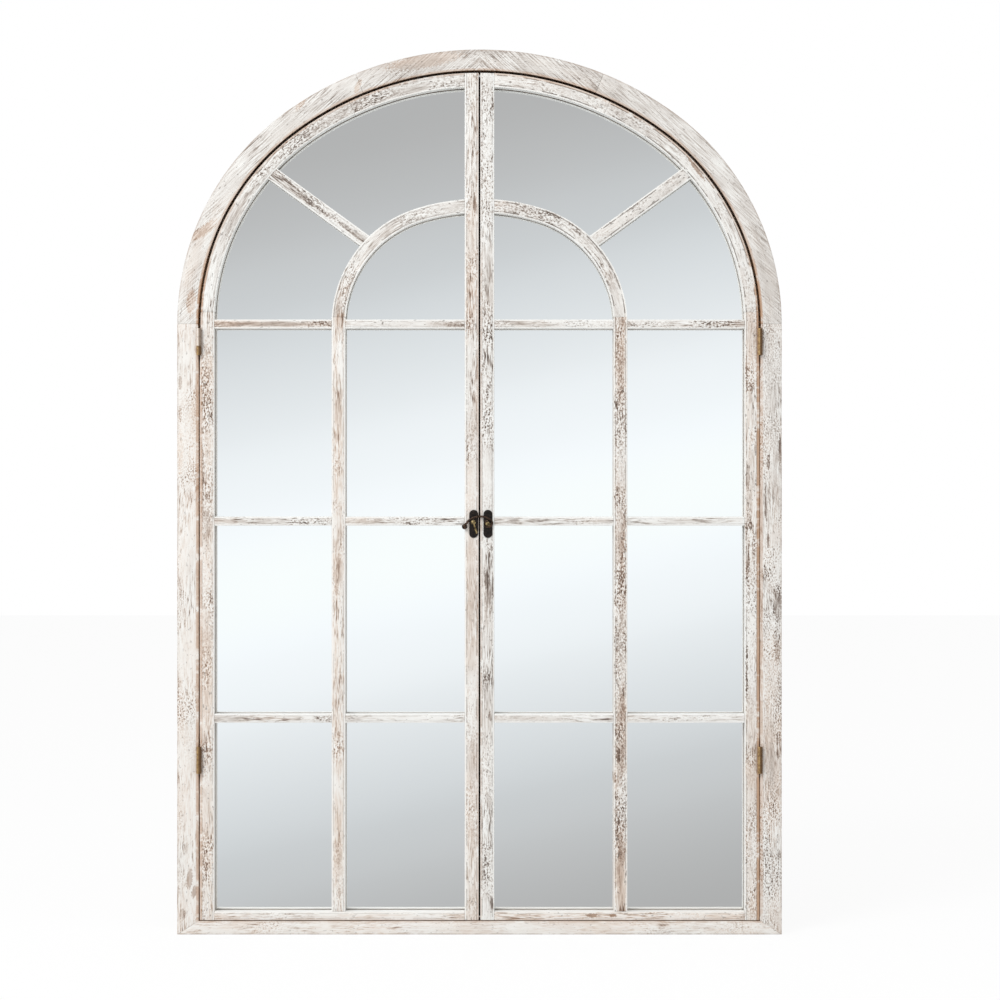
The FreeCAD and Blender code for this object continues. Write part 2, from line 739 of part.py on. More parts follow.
def make_felt():
    """Felt between the doors' backs and the mirror."""
    back = door_back + glass_air - pad_clearance
    x = (meeting_edge + meeting_back) / 2
    top = frame_arch.height(door_inset + stile_face, meeting_back)
    keep("right_door_pads", [
        Part.makeCylinder(pad_radius, back - door_back, vector(x, door_back, z), vector(0, 1, 0))
        for z in (rail_top + pad_end_margin, top - pad_end_margin)])
    low = door_foot + strip_end_margin
    high = frame_arch.height(door_inset, meeting_back) - strip_end_margin
    strip = box(-meeting_edge - strip_width, -meeting_edge, door_back, back, low, high)
    lip = box(-meeting_edge - strip_width, meeting_edge - strip_edge_clearance,
              door_back + strip_lip_step, back, low, high)
    keep("left_door_strip", [strip.fuse(lip).removeSplitter()])


def dome(radius, height, place):
    """Shallow dome towards the front: a slice of a ball over a circle of the given radius."""
    ball = (radius ** 2 + height ** 2) / (2 * height)
    centre = place + vector(0, ball - height, 0)
    sphere = Part.makeSphere(ball, centre)
    return sphere.common(Part.makeCylinder(ball, height, place, vector(0, -1, 0)))


def peg_head_height():
    """Height of the peg's head: just inside the curve of the arm that rests on it."""
    run = base_place + peg_head_place - arm_centre_run
    reach = arm_radius - arm_wire_radius - peg_rest_gap - peg_head_radius
    return latch_z - arm_centre_drop + math.sqrt(reach ** 2 - run ** 2)


def make_latch():
    """Keeper on the left door, hook plate with its rivet on the right door, and the hook."""
    plate_face = door_front - latch_plate_thickness
    forward = vector(0, -1, 0)

    head = vector(-peg_head_place, plate_face, peg_head_height())
    keeper = latch_plate(-keeper_place)
    wall = Part.makeCylinder(peg_head_radius, peg_wall_height + peg_sink, head - forward * peg_sink, forward)
    top = dome(peg_head_radius, peg_dome_height, head + forward * peg_wall_height)
    stem_lift = forward * (peg_stem_radius - peg_sink)
    stem_way = vector(peg_foot_run, 0, -peg_foot_drop)
    stem = Part.makeCylinder(peg_stem_radius, stem_way.Length, head + stem_lift, stem_way)
    tip = Part.makeSphere(peg_stem_radius, head + stem_lift + stem_way)
    peg = wall.fuse(top).fuse(stem).fuse(tip)
    keep("keeper_plate", [keeper.fuse(peg).removeSplitter()])

    pivot = vector(base_place, plate_face, latch_z)
    stand = hook_play * 2 + arm_wire_radius * 2
    post = Part.makeCylinder(pivot_radius, stand + peg_sink * 2, pivot - forward * peg_sink, forward)
    rivet = dome(rivet_head_radius, rivet_head_height, pivot + forward * stand)
    keep("hook_plate", [latch_plate(base_place).fuse(post).fuse(rivet).removeSplitter()])

    lift = hook_play + arm_wire_radius
    eye = rod(eye_radius, pivot + forward * lift, forward, arm_wire_radius * 2)
    bend = pivot + forward * lift + vector(-arm_centre_run, 0, -arm_centre_drop)
    start = math.radians(arm_eye_angle)
    way = vector(math.cos(start), 0, math.sin(start))
    section = Part.Wire(Part.makeCircle(arm_wire_radius, bend + way * arm_radius, vector(-way.z, 0, way.x)))
    arm = Part.Face(section).revolve(bend, forward, arm_ball_angle - arm_eye_angle)
    end = math.radians(arm_ball_angle)
    ball_place = bend + vector(math.cos(end), 0, math.sin(end)) * arm_radius
    ball_place.y = door_front - ball_radius - ball_clearance
    tangent = vector(-math.sin(end), 0, math.cos(end))
    ball = Part.makeSphere(ball_radius, ball_place, tangent)
    hole = rod(pivot_radius + pin_clearance, pivot + forward * lift, forward, arm_radius)
    hook = eye.fuse(arm).fuse(ball).removeSplitter().cut(hole)
    keep("latch_hook", [hook])


make_frame()
make_mirror()
make_hangers()
make_hinges()
make_doors()
make_felt()
make_latch()

os.makedirs("parts", exist_ok=True)
for node, shape in nodes.items():
    shape.exportStep("parts/" + node + ".step")
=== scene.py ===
import json
import math

import bmesh
import bpy
from mathutils import Matrix, Vector, noise


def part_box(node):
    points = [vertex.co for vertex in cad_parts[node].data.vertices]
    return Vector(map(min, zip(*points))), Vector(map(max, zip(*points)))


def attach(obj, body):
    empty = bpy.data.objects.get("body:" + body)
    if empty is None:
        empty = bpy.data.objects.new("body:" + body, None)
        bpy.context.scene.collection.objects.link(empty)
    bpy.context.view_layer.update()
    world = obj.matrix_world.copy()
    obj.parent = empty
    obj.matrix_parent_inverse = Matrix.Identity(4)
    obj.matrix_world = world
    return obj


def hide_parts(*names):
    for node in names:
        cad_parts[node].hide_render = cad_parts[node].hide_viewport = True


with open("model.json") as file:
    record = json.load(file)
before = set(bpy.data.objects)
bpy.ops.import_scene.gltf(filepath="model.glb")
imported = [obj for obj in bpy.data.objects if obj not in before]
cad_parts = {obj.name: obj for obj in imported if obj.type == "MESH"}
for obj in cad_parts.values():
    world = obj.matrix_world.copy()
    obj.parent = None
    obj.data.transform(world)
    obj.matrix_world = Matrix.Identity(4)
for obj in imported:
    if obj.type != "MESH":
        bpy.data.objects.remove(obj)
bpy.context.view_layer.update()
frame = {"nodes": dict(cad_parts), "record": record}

# Sizes of the mirror in metres, as in the part's source
mm = 0.001
half_width = 305 * mm
spring = 56 * mm
foot = -560 * mm
arch_rise = half_width * 0.908
haunch_radius = half_width * 0.864
frame_front = -30 * mm
frame_face = 21 * mm
sill_face = 13.6 * mm
rebate_width = 6.5 * mm
shoulder = -14.3 * mm
crown_half_angle = math.radians(22)

door_front = -29.5 * mm
door_back = -15.5 * mm
door_inset = 23.4 * mm
door_edge = half_width - door_inset
door_foot = -545.6 * mm
rail_top = -536.8 * mm
stile_face = 14 * mm
stile_head = spring + 12 * mm
meeting_edge = 0.8 * mm
meeting_back = 15 * mm
rail_joint_angle = math.radians(25)

bar_face = 14 * mm
bar_reach = half_width * 0.4895
inner_rise = bar_reach * 0.8466
inner_haunch = bar_reach * 0.819
upright_head = spring + 7.2 * mm
inner_joint_angle = math.radians(52)
spoke_face = 13.4 * mm
spoke_angle = math.radians(36)
cross_bar_face = 9.2 * mm
cross_bar_pitch = 616 * mm * 0.323
cross_bar_heights = [spring - cross_bar_pitch * step for step in range(3)]
lap_plane = door_front + 7 * mm

# Keyhole hangers: the pocket for the wall screw's head, and the recess for the plate
hanger_x = 297.75 * mm
pocket_half = 4.25 * mm
pocket_depth = 9.5 * mm
pocket_foot = -4.95 * mm
pocket_head = 12.1 * mm
recess_slack = 0.05 * mm
recess_sides = 24
recess_reach = 5 * mm

# Hook latch and hinges
latch_z = -145.668 * mm
latch_face = -30.7 * mm
plate_half_width = 4.55 * mm
plate_half_length = 14.15 * mm
plate_round = 0.45 * mm
rim_slack = 0.1 * mm
hook_plate_x = 8.5 * mm
keeper_plate_x = -5.8 * mm
wire_radius = 1.15 * mm
wire_sides = 14
hook_play = 0.3 * mm
arm_radius = 17.05 * mm
arm_reach = 12.35 * mm
arm_lean = math.radians(50.3)
arm_end = math.radians(157)
curl_radius = 3.9 * mm
eye_turn = math.radians(140)
ball_radius = 2.7 * mm
ball_sides, ball_rings = 24, 16
arm_steps, curl_steps, eye_steps = 34, 18, 14
hinge_x = 282.8 * mm

# Mirror sheet: the rim that the frame hides, how far back the silver shows, and the step between them
glass_rim = 3 * mm
silver_depth = 2 * mm
silver_step = 0.05 * mm

# Door gaps below the arch: how far each side comes nearer, and the share of it beside the lower hinges
gap_shifts = {-1: 0.75 * mm, 1: 1.0 * mm}
gap_fade_from = spring - 8 * mm
gap_fade = 50 * mm
hinge_share = 0.72
plate_low, plate_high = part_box("right_lower_jamb_plate")
lower_hinge_z = (plate_low[2] + plate_high[2]) / 2
hinge_reach = 16 * mm
hinge_fade = 12 * mm

# Wear of the boards: rounded arrises, hollows and nicks, how many a metre along and across, and where their
# noise starts. An arris tilts between two limits, and faces across the board more than an end does
arris_round = 0.8 * mm
hollow_depth = 0.12 * mm
hollows_along, hollows_across = 22, 60
nick_depth = 0.35 * mm
nicks_along, nicks_across = 130, 90
nick_level = 0.15
nick_start = 5
hollow_seed_step, nick_seed_step = 7.3, 3.1
arris_tilt = (0.25, 0.97)
end_tilt = 0.6

# Working limits: length of a board's step, what a saw cuts past, and when edges and points count as one
step_length = 5 * mm
saw_allowance = 2 * mm
spoke_allowance = 6 * mm
cut_slack = 1e-7
merge_slack = 1e-6
plane_slack = 1e-5
sharp_angle = 0.5
crease_angle = 0.7
flat_angle = 0.01

sides = {-1: "left", 1: "right"}
rightwards = Vector((1, 0, 0))
inwards = Vector((0, 1, 0))
upwards = Vector((0, 0, 1))
spring_middle = upwards * spring


def clamp(value):
    """A number held between 0 and 1."""
    return min(1, max(0, value))


def at(x, z):
    """A point or a way in the plane of the mirror's back."""
    return Vector((x, 0, z))


def at_angle(angle):
    """A way in the same plane, at an angle above level."""
    return at(math.cos(angle), math.sin(angle))


def section(rim, hollow, near=door_front, far=door_back):
    """Corners of a board's section: down its rim side from the front, and back up its hollow side."""
    return [rim + inwards * near, rim + inwards * far, hollow + inwards * far, hollow + inwards * near]


def run(vector):
    """A straight leg of a board, as carry takes it."""
    steps = max(1, round(vector.length / step_length))
    return {"dvec": vector / steps, "axis": inwards, "steps": steps}


def bend(centre, angle, radius):
    """A curved leg of a board, as carry takes it."""
    steps = max(1, round(abs(angle) * radius / step_length))
    return {"cent": centre, "axis": -inwards, "angle": angle, "steps": steps}


class Arch:
    """Three-centred arch on the spring line: two haunch arcs and a flatter crown arc."""

    def __init__(self, reach, radius, rise):
        self.side = reach - radius
        self.radius = radius
        self.crown = (self.side ** 2 + rise ** 2 - radius ** 2) / (2 * (rise - radius))
        self.drop = self.crown - rise
        self.turn = math.atan2(self.drop, self.side)
        self.haunch_centre = at(self.side, spring)
        self.crown_centre = at(0, spring - self.drop)

    def ray(self, inset, angle):
        """Distance from the spring line's middle to the outline, along an angle above level."""
        radius = self.radius - inset
        reach = self.side * math.cos(angle)
        reach += math.sqrt(radius ** 2 - (self.side * math.sin(angle)) ** 2)
        along = reach * math.cos(angle) - self.side
        if math.atan2(reach * math.sin(angle), along) < self.turn:
            return reach
        crown = self.crown - inset
        return math.sqrt(crown ** 2 - (self.drop * math.cos(angle)) ** 2) - self.drop * math.sin(angle)

    def section(self, angle, inset, face, near=door_front, far=door_back):
        """Section of a bent board, at an angle on the haunch or on the crown."""
        on_haunch = angle < self.turn
        centre = self.haunch_centre if on_haunch else self.crown_centre
        outer = (self.radius if on_haunch else self.crown) - inset
        way = at_angle(angle)
        return section(centre + way * outer, centre + way * (outer - face), near, far)

    def legs(self, start, end, inset=0):
        """Legs of a bent board, from an angle on the haunch to one on the crown."""
        return [bend(self.haunch_centre, self.turn - start, self.radius - inset),
                bend(self.crown_centre, end - self.turn, self.crown - inset)]


frame_arch = Arch(half_width, haunch_radius, arch_rise)
inner_arch = Arch(bar_reach, inner_haunch, inner_rise)


class StraightGrain:
    """Places on a straight board: along it, across its face and into its depth."""

    whole = False

    def __init__(self, start, along, across, front=door_front):
        self.start = start
        self.along = along.normalized()
        self.across = across.normalized()
        self.front = front

    def place(self, point):
        offset = point - self.start
        return Vector((offset.dot(self.along), offset.dot(self.across), point.y - self.front))

    def way(self, point):
        return self.along


class ArchGrain:
    """Places on a board bent to an arch: along its middle, inwards from its rim, and into its depth.

    On a whole arch the places run on from the right spring line over the crown to the left one.
    """

    def __init__(self, arch, inset, face, front=door_front, whole=False):
        self.arch = arch
        self.inset = inset
        self.front = front
        self.whole = whole
        middle = inset + face / 2
        self.haunch_middle = arch.radius - middle
        self.crown_middle = arch.crown - middle

    def length(self, angle):
        """Length along the board's middle up to an angle."""
        turn = self.arch.turn
        return min(angle, turn) * self.haunch_middle + max(0, angle - turn) * self.crown_middle

    def polar(self, point):
        """Angle of a point on the haunch or the crown, and its distance inwards from the rim there."""
        centre, radius = self.arch.haunch_centre, self.arch.radius
        angle = math.atan2(point.z - centre.z, point.x - centre.x)
        if angle >= self.arch.turn:
            centre, radius = self.arch.crown_centre, self.arch.crown
            angle = math.atan2(point.z - centre.z, point.x - centre.x)
        return angle, radius - self.inset - math.hypot(point.x - centre.x, point.z - centre.z)

    def place(self, point):
        if self.whole and point.x < 0:
            other = self.place(Vector((-point.x, point.y, point.z)))
            return Vector((self.length(math.pi / 2) * 2 - other.x, other.y, other.z))
        deep = point.y - self.front
        if point.z < spring:
            rim = self.arch.side + self.arch.radius - self.inset
            return Vector((point.z - spring, rim - point.x, deep))
        angle, across = self.polar(point)
        return Vector((self.length(angle), across, deep))

    def way(self, point):
        if point.z < spring:
            return upwards
        angle = self.polar(point)[0]
        return at(-math.sin(angle), math.cos(angle))


def rebated(corners, hollow_way):
    """An L section: the corner at the back on the hollow side is stepped outwards by the rebate."""
    rim_front, rim_back = corners[:2]
    hollow_front = corners[-1]
    at_shoulder = hollow_front.copy()
    at_shoulder.y = shoulder
    stepped = at_shoulder - hollow_way * rebate_width
    back = stepped.copy()
    back.y = rim_back.y
    return [rim_front, rim_back, back, stepped, at_shoulder, hollow_front]


def carry(bm, faces, **leg):
    """Carry faces along a leg, and give those at its far end."""
    return bmesh.ops.spin(bm, geom=faces, use_merge=False, use_duplicate=False, **leg)["geom_last"]


def sweep(corners, legs):
    """Closed board: a section carried along its legs."""
    bm = bmesh.new()
    last = [bm.faces.new([bm.verts.new(point) for point in corners])]
    for leg in legs:
        last = carry(bm, last, **leg)
    bmesh.ops.recalc_face_normals(bm, faces=bm.faces)
    return bm


def saw(bm, place, outwards):
    """Saw a board off at a plane, and close the end."""
    bmesh.ops.bisect_plane(bm, geom=bm.verts[:] + bm.edges[:] + bm.faces[:], dist=cut_slack,
                           plane_co=place, plane_no=outwards, clear_outer=True)
    bmesh.ops.holes_fill(bm, edges=[edge for edge in bm.edges if edge.is_boundary])
    bmesh.ops.recalc_face_normals(bm, faces=bm.faces)


def round_edges(bm, edges, width):
    """Round edges over."""
    bmesh.ops.bevel(bm, geom=edges, offset=width, offset_type="OFFSET", segments=2, profile=0.5,
                    affect="EDGES", clamp_overlap=True, material=-1)


def round_arrises(bm):
    """Take the sharp corners off a board."""
    outer = [edge for edge in bm.edges if edge.is_manifold and edge.is_convex]
    round_edges(bm, [edge for edge in outer if edge.calc_face_angle() > sharp_angle], arris_round)


def weather(bm, grain, seed):
    """Wear a board's faces a little uneven and nick its arrises, inwards only."""
    bm.normal_update()
    moves = []
    for vert in bm.verts:
        place = grain.place(vert.co)
        way = grain.way(vert.co)
        normal = vert.normal - way * vert.normal.dot(way)
        broad = noise.noise(Vector((place.x * hollows_along + seed * hollow_seed_step,
                                    place.y * hollows_across, place.z * hollows_across + seed)))
        depth = hollow_depth * (0.5 + 0.5 * broad)
        if arris_tilt[0] < abs(normal.y) < arris_tilt[1] and normal.length > end_tilt:
            nick = noise.noise(Vector((place.x * nicks_along + seed * nick_seed_step,
                                       place.y * nicks_across + nick_start, place.z * nicks_across)))
            depth += max(0, nick - nick_level) * nick_depth
        moves.append((vert, normal * -depth))
    for vert, move in moves:
        vert.co += move


def narrow_gap(bm, side_x, shift):
    """Bring a board's side nearer to its neighbour over the door gap, below the arch.

    Beside the lower hinge it comes less near, so that the plates stand proud of the wood.
    """
    for vert in bm.verts:
        if abs(vert.co.x - side_x) < arris_round * 1.5:
            fade = clamp((gap_fade_from - vert.co.z) / gap_fade)
            clear = clamp((abs(vert.co.z - lower_hinge_z) - hinge_reach) / hinge_fade)
            share = hinge_share + (1 - hinge_share) * clear
            vert.co.x += shift * share * fade * fade * (3 - 2 * fade)


def mirrored(bm):
    """Turn a right-hand board into the left-hand one."""
    bmesh.ops.scale(bm, vec=(-1, 1, 1), verts=bm.verts)
    bmesh.ops.reverse_faces(bm, faces=bm.faces)


def add_object(name, data):
    """A new object in the scene."""
    made = bpy.data.objects.new(name, data)
    bpy.context.collection.objects.link(made)
    return made


def add_mesh(name, bm):
    """A new object from a finished bmesh."""
    mesh = bpy.data.meshes.new(name)
    bm.to_mesh(mesh)
    bm.free()
    return add_object(name, mesh)


def shade(mesh, smooth=True):
    """Smooth faces that keep their creases."""
    for polygon in mesh.polygons:
        polygon.use_smooth = smooth
    mesh.set_sharp_from_angle(angle=crease_angle)


def box_cutter(side, x0, x1, y0, y1, z0, z1):
    """Cutter for a lap joint or a pocket."""
    bm = bmesh.new()
    middle = Vector((side * (x0 + x1) / 2, (y0 + y1) / 2, (z0 + z1) / 2))
    size = Matrix.Diagonal((x1 - x0, y1 - y0, z1 - z0, 1))
    bmesh.ops.create_cube(bm, size=1, matrix=Matrix.Translation(middle) @ size)
    return bm


def cut_with(piece, cutter_bm):
    """Cut a recess out of a board."""
    cutter = add_mesh("cutter", cutter_bm)
    modifier = piece.modifiers.new("recess", "BOOLEAN")
    modifier.operation = "DIFFERENCE"
    modifier.solver = "EXACT"
    modifier.object = cutter
    ready = piece.evaluated_get(bpy.context.evaluated_depsgraph_get())
    result = bpy.data.meshes.new_from_object(ready)
    piece.modifiers.remove(modifier)
    used = (piece.data, cutter.data)
    piece.data = result
    bpy.data.objects.remove(cutter)
    for mesh in used:
        bpy.data.meshes.remove(mesh)


def set_attribute(mesh, name, values):
    """Store one vector a vertex, for the materials."""
    attribute = mesh.attributes.new(name, "FLOAT_VECTOR", "POINT")
    attribute.data.foreach_set("vector", [number for value in values for number in value])


def finish_board(node, body, bm, grain, size, bare, side=1, cutters=(), gap=None):
    """Make a board an object that stands for its node, and give it what its material reads.

    size is its face and depth, bare says which faces have no wash, and gap gives the side beside the
    door gap and how far it moves.
    """
    seed, rub, tan, speck, marks, lines, gain = wear_and_painted_shade[node.removeprefix(sides[side] + "_")][side]
    round_arrises(bm)
    if gap:
        narrow_gap(bm, *gap)
    weather(bm, grain, seed)
    if side < 0:
        mirrored(bm)
    piece = add_mesh(node + "_board", bm)
    for cutter in cutters:
        cut_with(piece, cutter)
    mesh = piece.data
    mesh.name = node + "_board"
    shade(mesh)
    hand = 1 if grain.whole else side
    places = [grain.place(Vector((vert.co.x * hand, vert.co.y, vert.co.z))) for vert in mesh.vertices]
    set_attribute(mesh, "grain", places)
    same_all_over = {"board": (*size, gain), "wear": (rub, tan, speck), "bare": bare,
                     "pattern": (seed, marks, lines)}
    for name, value in same_all_over.items():
        set_attribute(mesh, name, [value] * len(places))
    mesh.materials.clear()
    mesh.materials.append(whitewash)
    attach(piece, body)
    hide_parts(node)


def srgb(red, green, blue):
    """Colour written in screen values from 0 to 255, as linear light."""
    def linear(value):
        value /= 255
        return value / 12.92 if value <= 0.04045 else ((value + 0.055) / 1.055) ** 2.4
    return (linear(red), linear(green), linear(blue), 1)


class Value:
    """What a node puts out. Plain signs between values make the nodes that work them out."""

    def __init__(self, nodes, socket):
        self.nodes = nodes
        self.socket = socket

    def __add__(self, other):
        return self.nodes.math("ADD", self, other)

    def __radd__(self, other):
        return self.nodes.math("ADD", other, self)

    def __sub__(self, other):
        return self.nodes.math("SUBTRACT", self, other)

    def __rsub__(self, other):
        return self.nodes.math("SUBTRACT", other, self)

    def __mul__(self, other):
        return self.nodes.math("MULTIPLY", self, other)

    def __truediv__(self, other):
        return self.nodes.math("DIVIDE", self, other)


class Nodes:
    """Short calls for the nodes of a material or of the world."""

    def __init__(self, owner):
        owner.use_nodes = True
        self.tree = owner.node_tree

    def give(self, socket, value):
        """Link a value to an input, or set the input's own number or colour."""
        if isinstance(value, Value):
            self.tree.links.new(value.socket, socket)
        else:
            socket.default_value = value

    def node(self, kind, inputs=None, output=0, **settings):
        """A new node with what it takes in. Gives one of its outputs."""
        node = self.tree.nodes.new("ShaderNode" + kind)
        for name, value in settings.items():
            setattr(node, name, value)
        for socket, value in (inputs or {}).items():
            self.give(node.inputs[socket], value)
        return Value(self, node.outputs[output])

    def end(self, kind, value):
        """The node that the whole tree leads to."""
        self.give(self.tree.nodes.new("ShaderNode" + kind).inputs[0], value)

    def ray(self, kind):
        """Whether a ray is one of a kind."""
        return self.node("LightPath", output=f"Is {kind} Ray")

    def math(self, operation, first, second=0.0):
        return self.node("Math", {0: first, 1: second}, operation=operation)

    def vector_math(self, operation, first, second, output=0):
        return self.node("VectorMath", {0: first, 1: second}, output, operation=operation)

    def mix(self, share, first, second):
        """From one colour to another."""
        return self.node("Mix", {0: share, 6: first, 7: second}, 2, data_type="RGBA")

    def ramp(self, value, stops, interpolation="LINEAR"):
        """Colour by value: each stop has its position and its colour."""
        scale = self.node("ValToRGB", {0: value})
        band = scale.socket.node.color_ramp
        band.interpolation = interpolation
        while len(band.elements) < len(stops):
            band.elements.new(0.5)
        for element, stop in zip(band.elements, stops):
            element.position = stop[0]
        for element, stop in zip(band.elements, stops):
            element.color = stop[1]
        return scale


class Finish(Nodes):
    """A material, with short calls for what its pattern needs."""

    def __init__(self, name):
        self.material = bpy.data.materials.new(name)
        super().__init__(self.material)
        self.shader = self.tree.nodes["Principled BSDF"]

    def set(self, socket, value):
        self.give(self.shader.inputs[socket], value)

    def bump(self, height, strength, distance):
        raised = {"Height": height, "Strength": strength, "Distance": distance}
        self.set("Normal", self.node("Bump", raised))

    def object_place(self):
        return self.node("TexCoord", output="Object")

    def attribute(self, name):
        return self.node("Attribute", output="Vector", attribute_name=name)

    def split(self, vector):
        parts = self.node("SeparateXYZ", {0: vector}).socket.node
        return [Value(self, output) for output in parts.outputs]

    def join(self, x, y, z):
        return self.node("CombineXYZ", {0: x, 1: y, 2: z})

    def noise(self, vector, scale=1.0, detail=2.0, roughness=0.5):
        return self.node("TexNoise", {"Vector": vector, "Scale": scale, "Detail": detail,
                                      "Roughness": roughness})

    def pattern(self, place, marks, start=None, detail=2.0, roughness=0.5):
        """Noise with its own number of marks a metre each way, and its own start."""
        if start:
            place = self.vector_math("ADD", place, start)
        return self.noise(self.vector_math("MULTIPLY", place, marks), detail=detail, roughness=roughness)

    def between(self, value, low, high):
        """Smooth step from 0 at low to 1 at high."""
        return self.node("MapRange", {0: value, 1: low, 2: high}, interpolation_type="SMOOTHSTEP")

    def larger(self, first, second):
        return self.math("MAXIMUM", first, second)

    def two_tone(self, share, tones):
        """From a first screen colour to a second one."""
        return self.mix(share, srgb(*tones[0]), srgb(*tones[1]))

    def over(self, share, colour, tone):
        """One screen colour laid over what is there."""
        return self.mix(share, colour, srgb(*tone))

    def wash(self, value, stops):
        """Colour of the wash, from thick to rubbed through."""
        return self.ramp(value, [(position, srgb(*tone)) for position, tone in stops])

    def spots(self, point, places, ragged):
        """Soft ovals at single places on the front, with a ragged rim."""
        through = 1000
        rim, core, raggedness = 1.1, 0.7, 1.2
        total = 0.0
        for x, z, long, wide, turn, strength in places:
            oval = {0: point, 1: (x * mm, 0, z * mm), 2: (0, -math.radians(turn), 0),
                    3: (long * mm, through, wide * mm)}
            moved = self.node("Mapping", oval, vector_type="TEXTURE")
            reach = self.node("VectorMath", {0: moved}, "Value", operation="LENGTH")
            reach = reach + (ragged - 0.5) * raggedness
            total = self.larger(self.between(reach, rim, core) * strength, total)
        return total

    def done(self, colour, roughness, metallic=0.0):
        """Set what every finish has, and give its material."""
        self.set("Base Color", colour)
        self.set("Roughness", roughness)
        self.set("Metallic", metallic)
        return self.material

    def metal_skin(self, scale, detail, fleck_scale):
        """Clouds and fine flecks of an aged metal."""
        place = self.object_place()
        return place, self.noise(place, scale, detail, 0.6), self.noise(place, fleck_scale)

    def as_metal(self, colour, metallic, roughness, fleck):
        """Set what all the metals have."""
        self.bump(fleck, 0.25, 0.2 * mm)
        return self.done(colour, roughness, metallic)


# Single places on the front, in millimetres: middle across and up, half length, half width, turn, strength
knots = (
    (113.5, -540.8, 6.2, 2.4, 0, 0.8), (134.7, -540.8, 4.2, 1.9, 0, 0.9), (-292.5, -504, 11, 3.4, 86, 0.55),
    (-288, -517, 7, 2.6, 80, 0.6), (303, -416, 5.5, 3.6, 60, 0.35), (219, 212, 15, 2.0, -54, 0.75),
)
# Places where the wash has a tan tone
tan_places = (
    (-122.6, 296, 8, 3.0, 68, 0.8), (-277, 151, 20, 5.0, 35, 0.75), (-180, 279, 10, 3.4, 60, 0.6),
    (-291, 78, 14, 5.0, 84, 0.8), (-139.5, 60, 9, 5.0, 90, 0.7), (118, 313, 12, 3.0, -20, 0.5),
    (-55, 321, 42, 8, 10, 0.6), (296, -370, 120, 9, 90, 0.35), (-287, -29, 22, 4, 90, 0.5),
    (-302, -73, 24, 3, 90, 0.5),
)
# Places where the wash is rubbed through
worn_places = (
    (300.7, -226, 21, 5.0, 90, 0.8), (300.5, -268, 20, 3.5, 90, 0.7), (303, -72, 16, 1.6, 90, 1.0),
    (291.6, -83, 9, 1.6, 90, 1.0), (288.8, -127, 20, 1.3, 92, 0.9), (291, -163, 9, 1.6, 90, 0.9),
    (288.3, -196, 8, 1.4, 90, 0.9), (270.3, -182.6, 23, 2.2, 90, 0.8), (269.6, -294.5, 26, 1.3, 90, 0.9),
    (271.5, -147.4, 5, 4.0, 0, 0.8), (270.6, -99, 15, 2.5, 90, 0.6), (269, 14, 14, 1.1, 90, 0.8),
    (7.1, -201.8, 12, 2.2, 90, 0.8), (5.4, -488.6, 10, 2.0, 90, 0.7), (8.2, -10.8, 6, 1.7, 90, 0.9),
    (13.6, 278.6, 13, 1.1, 90, 0.8), (9.9, -300, 5, 1.7, 90, 0.8), (10.7, -340, 5, 2.4, 90, 0.6),
    (-4.7, 177.7, 12, 1.8, 90, 0.9), (140, -379.5, 9, 2.2, 90, 0.7), (136.1, -401.7, 6, 1.8, 90, 0.9),
    (-302, -35, 9, 1.8, 90, 0.6), (-302, -3, 8, 1.8, 90, 0.7), (-300, -540, 7, 2.6, 90, 0.7),
    (-286.3, 34, 8, 1.4, 90, 0.8), (-276, -5, 45, 5, 90, 0.35), (-279.5, -103, 45, 2, 90, 0.6),
    (-275.5, -146, 18, 5, 90, 0.4), (9.5, -205, 38, 5, 90, 0.4), (9, -455, 45, 4.5, 90, 0.2),
)
# Places where the wash lies thick and smooth
thick_places = (
    (-8, -145, 72, 9, 90, 1.0), (8, -122, 50, 9, 90, 1.0), (-8, -370, 150, 9, 90, 0.5),
    (275, -400, 120, 7, 90, 0.5),
)

# From thick wash to bare wood, in screen colours: with the tan coat under it, and over grey weathered wood
tan_wash = ((0.0, (247, 245, 241)), (0.40, (240, 235, 229)), (0.54, (229, 217, 206)),
            (0.68, (203, 184, 169)), (0.83, (156, 131, 114)), (1.0, (106, 84, 70)))
grey_wash = ((0.0, (247, 247, 245)), (0.40, (239, 238, 234)), (0.54, (225, 221, 216)),
             (0.68, (193, 186, 179)), (0.83, (142, 130, 122)), (1.0, (92, 81, 74)))

# Screen colours where there is no wash: a darker and a lighter one, or one alone
knot_wood = ((120, 90, 68), (184, 152, 126))
arris_wood = ((162, 122, 92), (206, 172, 142))
arch_gap_wood = ((96, 70, 50), (142, 108, 80))
# Pale wood in the gap below the arch: painted light against the gap's shade
post_gap_wood_and_painted_light = ((192, 152, 116), (230, 198, 162))
back_wood = ((160, 124, 90), (212, 182, 146))
door_back_tone = ((134, 112, 94), (182, 162, 144))
back_grain = (132, 98, 68)
rubbed_rim = (168, 146, 130)
dark_line = (92, 79, 70)

# Way of the saw marks on the arch, as the two parts of a direction
saw_level, saw_fall = 0.74, 0.67


